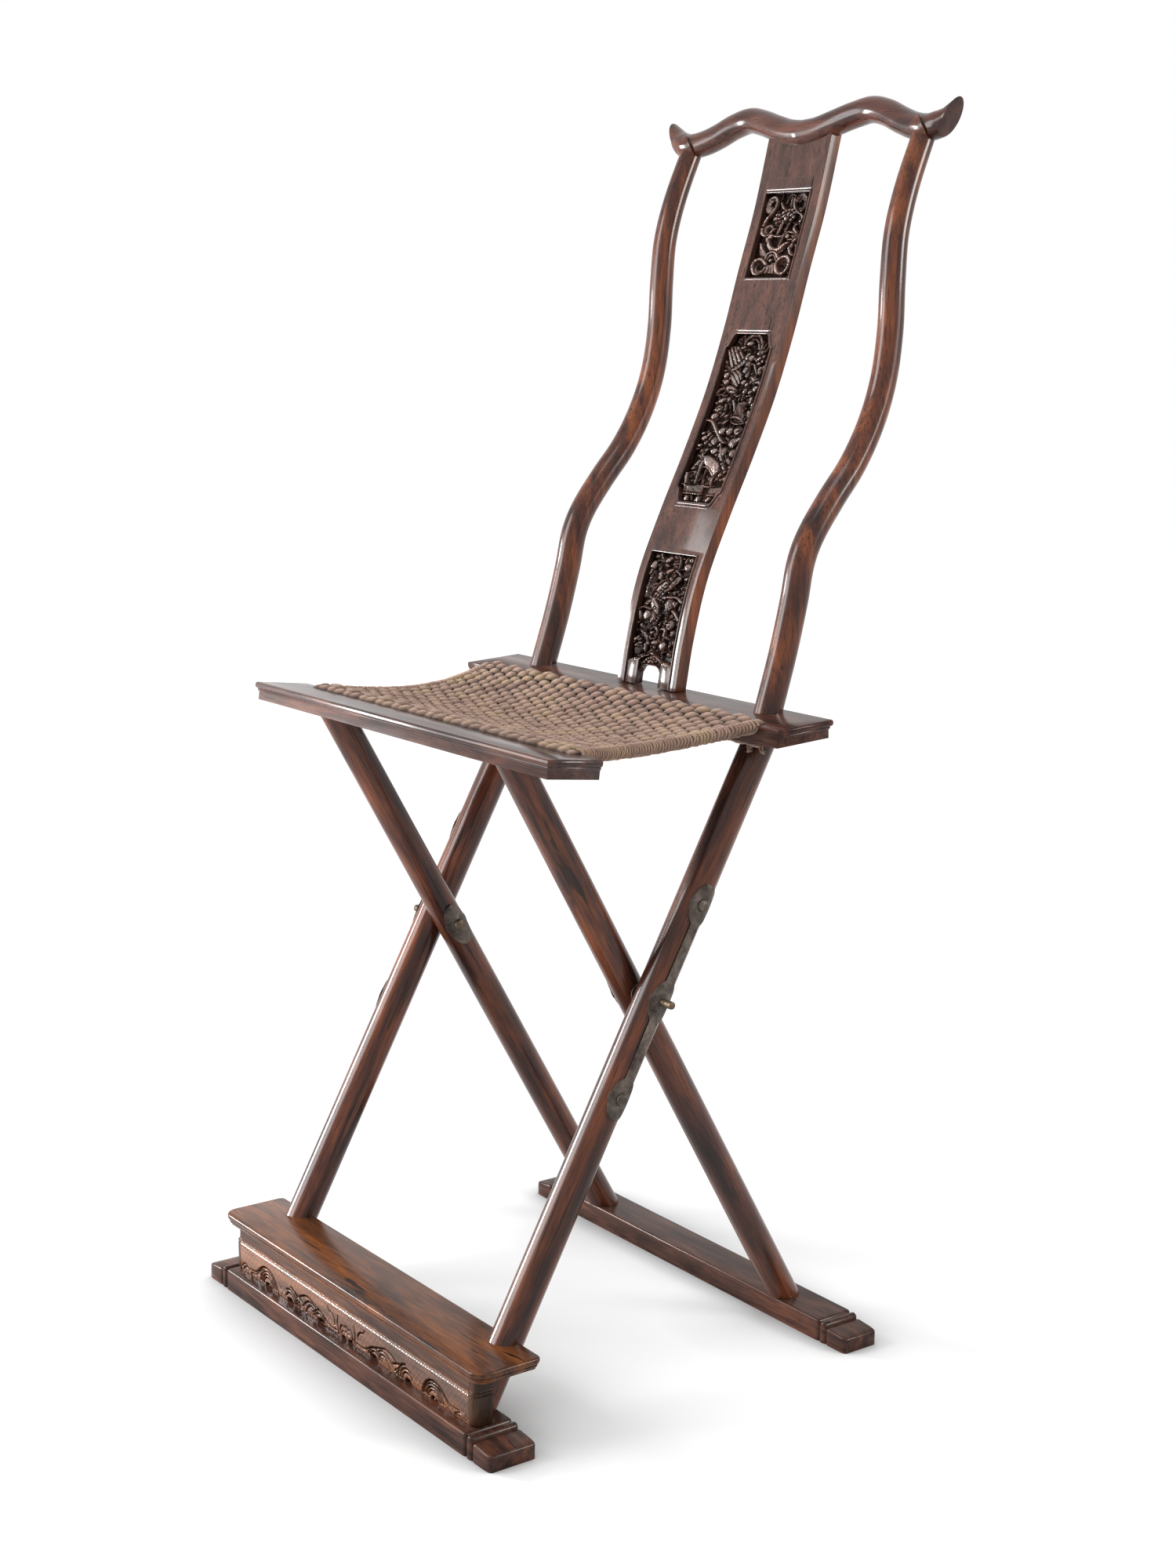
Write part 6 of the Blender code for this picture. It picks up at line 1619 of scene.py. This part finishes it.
for x, z, wide, high, turn in (
    (-18.6, 50.2, 1.7, 4.2, 18.0), (-14.8, 50.8, 1.6, 4.2, -8.0), (-11.0, 52.2, 1.5, 3.6, -22.0),
    (-22.6, 52.2, 1.6, 3.4, 40.0),
    (-6.8, 55.6, 1.3, 2.6, 30.0),
):
    dome(ground, x, z, wide, high, 0.70, turn, LEAF)
carve(ground, [
    ([(-20.5, 48.2), (-15.0, 45.6), (-11.0, 43.4), (-9.6, 39.4), (-7.0, 37.2)], 1.0, 0.92),
    ([(-3.0, 53.4), (1.2, 50.8), (1.6, 45.6), (-2.4, 42.2), (-7.0, 44.0), (-7.6, 49.6)], 0.85, 0.90, ROUND, True),
    (-5.2, 47.6, 3.0, 2.0, 1.0, 24.0, LEAF), (-1.2, 46.2, 1.6, 2.4, 0.72), (17.0, 56.6, 5.6, 4.7, 0.98, 12.0),
    (16.0, 56.8, 2.6, 2.0, 1.06),
])
for x, z in ((9.2, 57.2), (8.0, 54.2), (10.8, 59.4)):
    dome(ground, x, z, 1.4, 1.9, 0.78, 24.0)
carve(ground, [
    ([(6.2, 51.6), (9.6, 53.0), (13.0, 50.6), (13.4, 45.6), (12.6, 42.0)], 1.05, 0.96),
    (10.0, 47.6, 2.0, 3.4, 0.52, 10.0), (22.4, 49.2, 2.4, 3.6, 0.92, 20.0, LEAF),
    ([(14.8, 46.4), (18.0, 44.8), (21.2, 44.2)], 0.7, 0.90),
    (21.6, 38.4, 2.0, 3.6, 0.66, -16.0, LEAF), (26.0, 41.5, 2.0, 3.6, 0.56, 14.0, LEAF),
    (22.0, 30.6, 4.0, 2.4, 0.44), (-21.8, 32.2, 6.2, 6.2, 0.74),
])
for k in range(5):
    stem = [(-26.0 + 2.1 * k, 36.0), (-25.4 + 1.9 * k, 31.0), (-24.0 + 1.3 * k, 27.0)]
    stroke(ground, stem, 0.55, 0.84, ROUND, False, 0.3)
carve(ground, [
    (-24.2, 37.8, 6.2, 5.0, 1.0, -10.0, ROUND, 7), (-25.0, 37.2, 2.4, 1.3, 0.12, 28.0),
    (-12.0, 34.0, 2.5, 5.2, 0.78, 8.0, LEAF), (-0.4, 39.0, 4.8, 2.8, 0.88, 6.0, LEAF),
    (-1.0, 33.2, 2.6, 4.4, 0.80, -32.0),
])
for k in range(4):
    dome(ground, -2.6 + 1.3 * k, 35.6 - 1.5 * k, 0.95, 0.95, 1.0)
carve(ground, [
    ([(13.2, 36, 3.4), (13.4, 32.6, 1.8), (13.4, 29.4, 0.4)], 2.4, 0.86),
    (12.4, 37.2, 4.5, 4.6, 1.0),
])
lip = [(-31, 19.2), (-27, 21.4), (-22.5, 23.0), (-17, 22.8), (-13, 24.4), (-8.5, 26.8), (-3.6, 27.6), (0, 30.0)]
lip += [(-x, z) for x, z in reversed(lip[:-1])]
below = np.interp(ground["x"], [x for x, z in lip], [z for x, z in lip])
ground["up"] = np.where(ground["z"] < below, 0.10, ground["up"])
for x, z, wide, high, top in (
    (-6.6, 23.2, 2.6, 2.2, 0.74), (6.6, 23.2, 2.6, 2.2, 0.74), (-3.6, 24.6, 2.2, 2.2, 0.82),
    (3.6, 24.6, 2.2, 2.2, 0.82), (0.0, 25.4, 2.2, 2.4, 0.90),
    (-2.2, 21.6, 2.0, 1.9, 0.92), (2.2, 21.6, 2.0, 1.9, 0.92), (0.0, 22.8, 1.3, 1.3, 1.0),
    (-10.8, 20.6, 2.6, 2.0, 0.55), (10.8, 20.6, 2.6, 2.0, 0.55),
    (-14.2, 19.0, 1.8, 2.2, 0.50), (14.2, 19.0, 1.8, 2.2, 0.50),
):
    dome(ground, x, z, wide, high, top)
carve(ground, [
    ([(-15.2, 12.0), (-12.0, 16.6), (-7.6, 18.8), (0, 18.9), (7.6, 18.8), (12.0, 16.6), (15.2, 12.0)], 0.8, 0.66),
    ([lip[0], *lip[1:7]], 0.8, 1.12), (lip[6:9], 0.8, 1.12), (lip[8:], 0.8, 1.12),
])
ground["up"] *= np.clip((32.0 - np.abs(ground["x"])) / 1.0, 0.0, 1.0) * np.clip((119.5 - ground["z"]) / 1.0, 0.0, 1.0)
ground["up"] = np.where((np.abs(ground["x"]) > ARCH_HALF) & (ground["z"] < below - 0.4), 0.9, ground["up"])
fit_panel("bottom", ground, 3.1, BOTTOM_WINDOW)
for side, end in ENDS:
    outline = [(16.1, 0.2), (31.7, 0.2), (31.7, 18.4), (24.0, 21.4), (16.1, 21.2)]
    outline = [(side * x / 1000.0, BOTTOM_WINDOW[1] + z / 1000.0) for x, z in outline]
    foot = flat_prism("panel_foot_" + end, outline, 0.0003, PANEL_BACK)
    bend_to_splat(foot)
    soften(foot, 0.0005, 2, 50.0)
    finished(foot, "back_frame", splat_wood, "dark_hardwood")


# Footrest apron: a board under the tread with a plain waist, a fine bead, and a low edge
# carved in flat waves, rings and tendrils that mirror each other about the middle.
APRON_HALF = 191.1
APRON_RISE = 30.2
APRON_FOOT = 0.0203
APRON_DEPTH = 0.0034
BEAD_HEIGHT = 26.9
APRON_FACE = (
    (0.0203, 0.0085), (0.0250, 0.0075), (0.0309, 0.0070), (0.0414, 0.0065), (0.0468, 0.0066),
    (0.0485, 0.0064), (0.0497, 0.0068), (0.0505, 0.0082),
)
GROOVE = ((0.0, 0.4, 0.8, 1.0), (0.0, 0.22, 0.8, 1.0))


def apron_face(z):
    return TREAD_FRONT + PINS.y + float(np.interp(z, *zip(*APRON_FACE)))


def apron_back(z):
    return TREAD_FRONT + PINS.y + 0.0155


def groove(points, width, depth):
    """A line cut with a gouge, in each half of the apron."""
    for side in (-1.0, 1.0):
        before = ground["up"].copy()
        mirrored = [(side * point[0], *point[1:]) for point in points]
        stroke(ground, mirrored, 1.25 * width, 1.0, GROOVE, False, 0.0001)
        line = ground["up"]
        cut_here = (line != before) & (line < 1.0)
        ground["up"] = np.where(cut_here, np.minimum(before, 1.0 - 0.95 * depth * (1.0 - line)), before)


def arc(x, z, radius, start, end):
    """Points of an arc in degrees, from the right round over the top to the left."""
    angles = [math.radians(start + (end - start) * k / 8.0) for k in range(9)]
    return [(x + radius * math.cos(a), z + radius * math.sin(a)) for a in angles]


apron_wood = polished_wood(
    "apron_wood", ALONG_X, (60, 38, 27), (84, 54, 38), (102, 66, 44), 0.10, 0.26, True, 0.4,
)
waist_wood = polished_wood(
    "waist_wood", ALONG_X, (50, 34, 28), (72, 48, 38), (90, 60, 46), 0.10, 0.28, shine=0.6,
)
ground = carving_ground(APRON_HALF, APRON_RISE, None, 0.42)
ground["up"] += 1.0
for side in (-1.0, 1.0):
    for x, z, wide, high in (
        (139.5, 0.6, 4.6, 3.4), (99.5, 0.8, 4.2, 3.2), (45.0, 1.2, 4.8, 3.4), (5.5, 0.8, 2.6, 2.0),
    ):
        dome(ground, side * x, z, wide, high, 0.05)
    dome(ground, side * 139.5, 1.6, 1.9, 1.7, 0.92)
for line in (
    ([(175, 7.0), (166, 6.8), (159, 9.6), (153.5, 14.2), (147, 17.6), (139.5, 18.3), (131, 15.6),
      (125, 9.4), (121.5, 1.2)], 0.95, 1.0),
    ([(171, 3.8), (163.5, 4.6), (158.5, 8.0), (153, 12.2), (146.5, 15.0)], 0.75, 0.8),
    (arc(139.5, 0.8, 14.6, 8, 172), 0.75, 0.95), (arc(139.5, 0.8, 11.6, 8, 172), 0.75, 0.95),
    (arc(139.5, 0.8, 8.8, 8, 172), 0.75, 0.95),
    ([(186.5, 1.8), (184, 5.0), (179.5, 6.4), (174, 4.4), (170, 0.8)], 0.7, 0.75),
    ([(189.5, 4.0), (186, 7.6), (181, 8.6), (175.5, 7.0)], 0.6, 0.65),
    (arc(99.0, 0.6, 15.6, 100, 178)[::-1] + [(93, 14.8), (86.5, 12.4), (80.5, 10.6), (76, 8.8)], 0.95, 1.0),
    (arc(99.0, 0.6, 12.2, 60, 176), 0.75, 0.95), (arc(99.0, 0.6, 8.6, 30, 174), 0.75, 0.95),
    (arc(84.5, 0.2, 6.6, 4, 150), 0.6, 0.72), (arc(84.5, 0.2, 4.2, 4, 170), 0.5, 0.60),
    ([(84, 11.2), (78.5, 14.0), (71, 16.8), (63.5, 17.4), (55.5, 14.8), (46, 12.0), (38, 8.6), (31, 5.0),
      (24, 3.8), (17, 4.6)], 0.95, 1.0),
    ([(76, 5.6), (70.5, 10.6), (64, 14.0), (57.5, 13.4), (50.5, 10.2)], 0.75, 0.85),
    ([(71.5, 1.2), (68, 6.2), (62.5, 10.2), (56.5, 9.4)], 0.75, 0.85),
    (arc(47.0, 1.0, 10.6, 14, 168), 0.75, 0.95), (arc(47.0, 1.0, 7.6, 14, 172), 0.75, 0.9),
    ([(31.5, 22.0, 0.5), (28.0, 18.6, 0.9), (22.5, 16.4, 1.0), (19.4, 12.4, 0.9), (20.0, 8.4, 0.5)], 0.9, 0.85),
    ([(13.2, 19.8, 0.4), (14.4, 15.6, 0.8), (14.8, 10.8, 0.9), (13.6, 5.8, 0.8), (14.6, 1.2, 0.5)], 0.8, 0.85),
    ([(0.0, 14.6), (3.2, 11.8), (6.4, 12.8), (9.6, 10.2), (10.2, 6.4), (8.2, 3.6)], 0.75, 0.80),
    ([(0.0, 9.6), (2.8, 7.6), (5.6, 8.0), (7.4, 5.6)], 0.6, 0.72),
):
    groove(*line)
for side in (-1.0, 1.0):
    dome(ground, side * 56.2, 6.0, 1.5, 1.5, 1.12)
    dome(ground, side * 171.5, 1.8, 1.2, 1.0, 0.95)
ground["up"] -= 0.42 * np.exp(-((ground["z"] - BEAD_HEIGHT) / 0.34) ** 2)
worn_by_hand(ground, 2.3, 0.02)
apron = carved_board("apron_carved", ground, APRON_FOOT, apron_face, APRON_DEPTH, apron_back)
finished(apron, "back_frame", apron_wood, "hardwood", "footrest_apron")

waist_size = (2 * APRON_HALF / 1000.0, 0.0076, 0.0124)
waist = block("apron_waist", waist_size, (0.0, TREAD_FRONT + PINS.y + 0.0117, 0.0562))
finished(waist, "back_frame", waist_wood, "hardwood")


# Footrest returns: the block with a rounded corner that closes each end of the apron, and
# carries the waist and the bead round. Its grain stands upright, so it looks darker.
RETURN_INNER = 0.1913
RETURN_OUTER = 0.2001
RETURN_FRONT = TREAD_FRONT + 0.0065
RETURN_BACK = TREAD_FRONT + 0.0255
RETURN_FOOT = 0.0203
RETURN_HEAD = 0.0622
RETURN_ROUND = 0.0070
RETURN_MOULDING = (
    (0.0203, 0.0022), (0.0212, 0.0013), (0.0235, 0.0007), (0.0310, 0.0003), (0.0415, 0.0), (0.0462, 0.0001),
    (0.0468, 0.0009), (0.0474, 0.0009), (0.0479, 0.0002), (0.0487, 0.0), (0.0494, 0.0003), (0.0499, 0.0012),
    (0.0503, 0.0015), (0.0508, 0.0016), (0.0560, 0.0017), (0.0622, 0.0015),
)
return_wood = polished_wood(
    "return_wood", ALONG_Z, (48, 32, 24), (74, 50, 36), (96, 65, 44), 0.0, 0.26, shine=0.6,
)
for side, end in ENDS:
    closing = block(
        "return_" + end, (RETURN_OUTER - RETURN_INNER, RETURN_BACK - RETURN_FRONT, RETURN_HEAD - RETURN_FOOT),
        ((RETURN_INNER + RETURN_OUTER) / 2, (RETURN_FRONT + RETURN_BACK) / 2, (RETURN_FOOT + RETURN_HEAD) / 2),
    )
    round_edges(
        closing,
        lambda a, b: abs(a.z - b.z) > 0.01 and a.x > RETURN_OUTER - 0.0001 and a.y < RETURN_FRONT + 0.0001,
        RETURN_ROUND, 12,
    )
    slice_at([(0.0, 0.0, z) for z, inset in RETURN_MOULDING[1:-1]], UP)
    for corner in closing.data.vertices:
        inset = inset_at(RETURN_MOULDING, corner.co.z)
        x_hub = min(corner.co.x, RETURN_OUTER - RETURN_ROUND)
        y_hub = max(corner.co.y, RETURN_FRONT + RETURN_ROUND)
        outwards = corner.co - Vector((x_hub, y_hub, corner.co.z))
        if outwards.length > 0.0001:
            corner.co -= outwards.normalized() * inset
        corner.co.x *= side
        corner.co.y += PINS.y
    close_up()
    finished(closing, "back_frame", return_wood, "hardwood", "footrest_return_" + end)
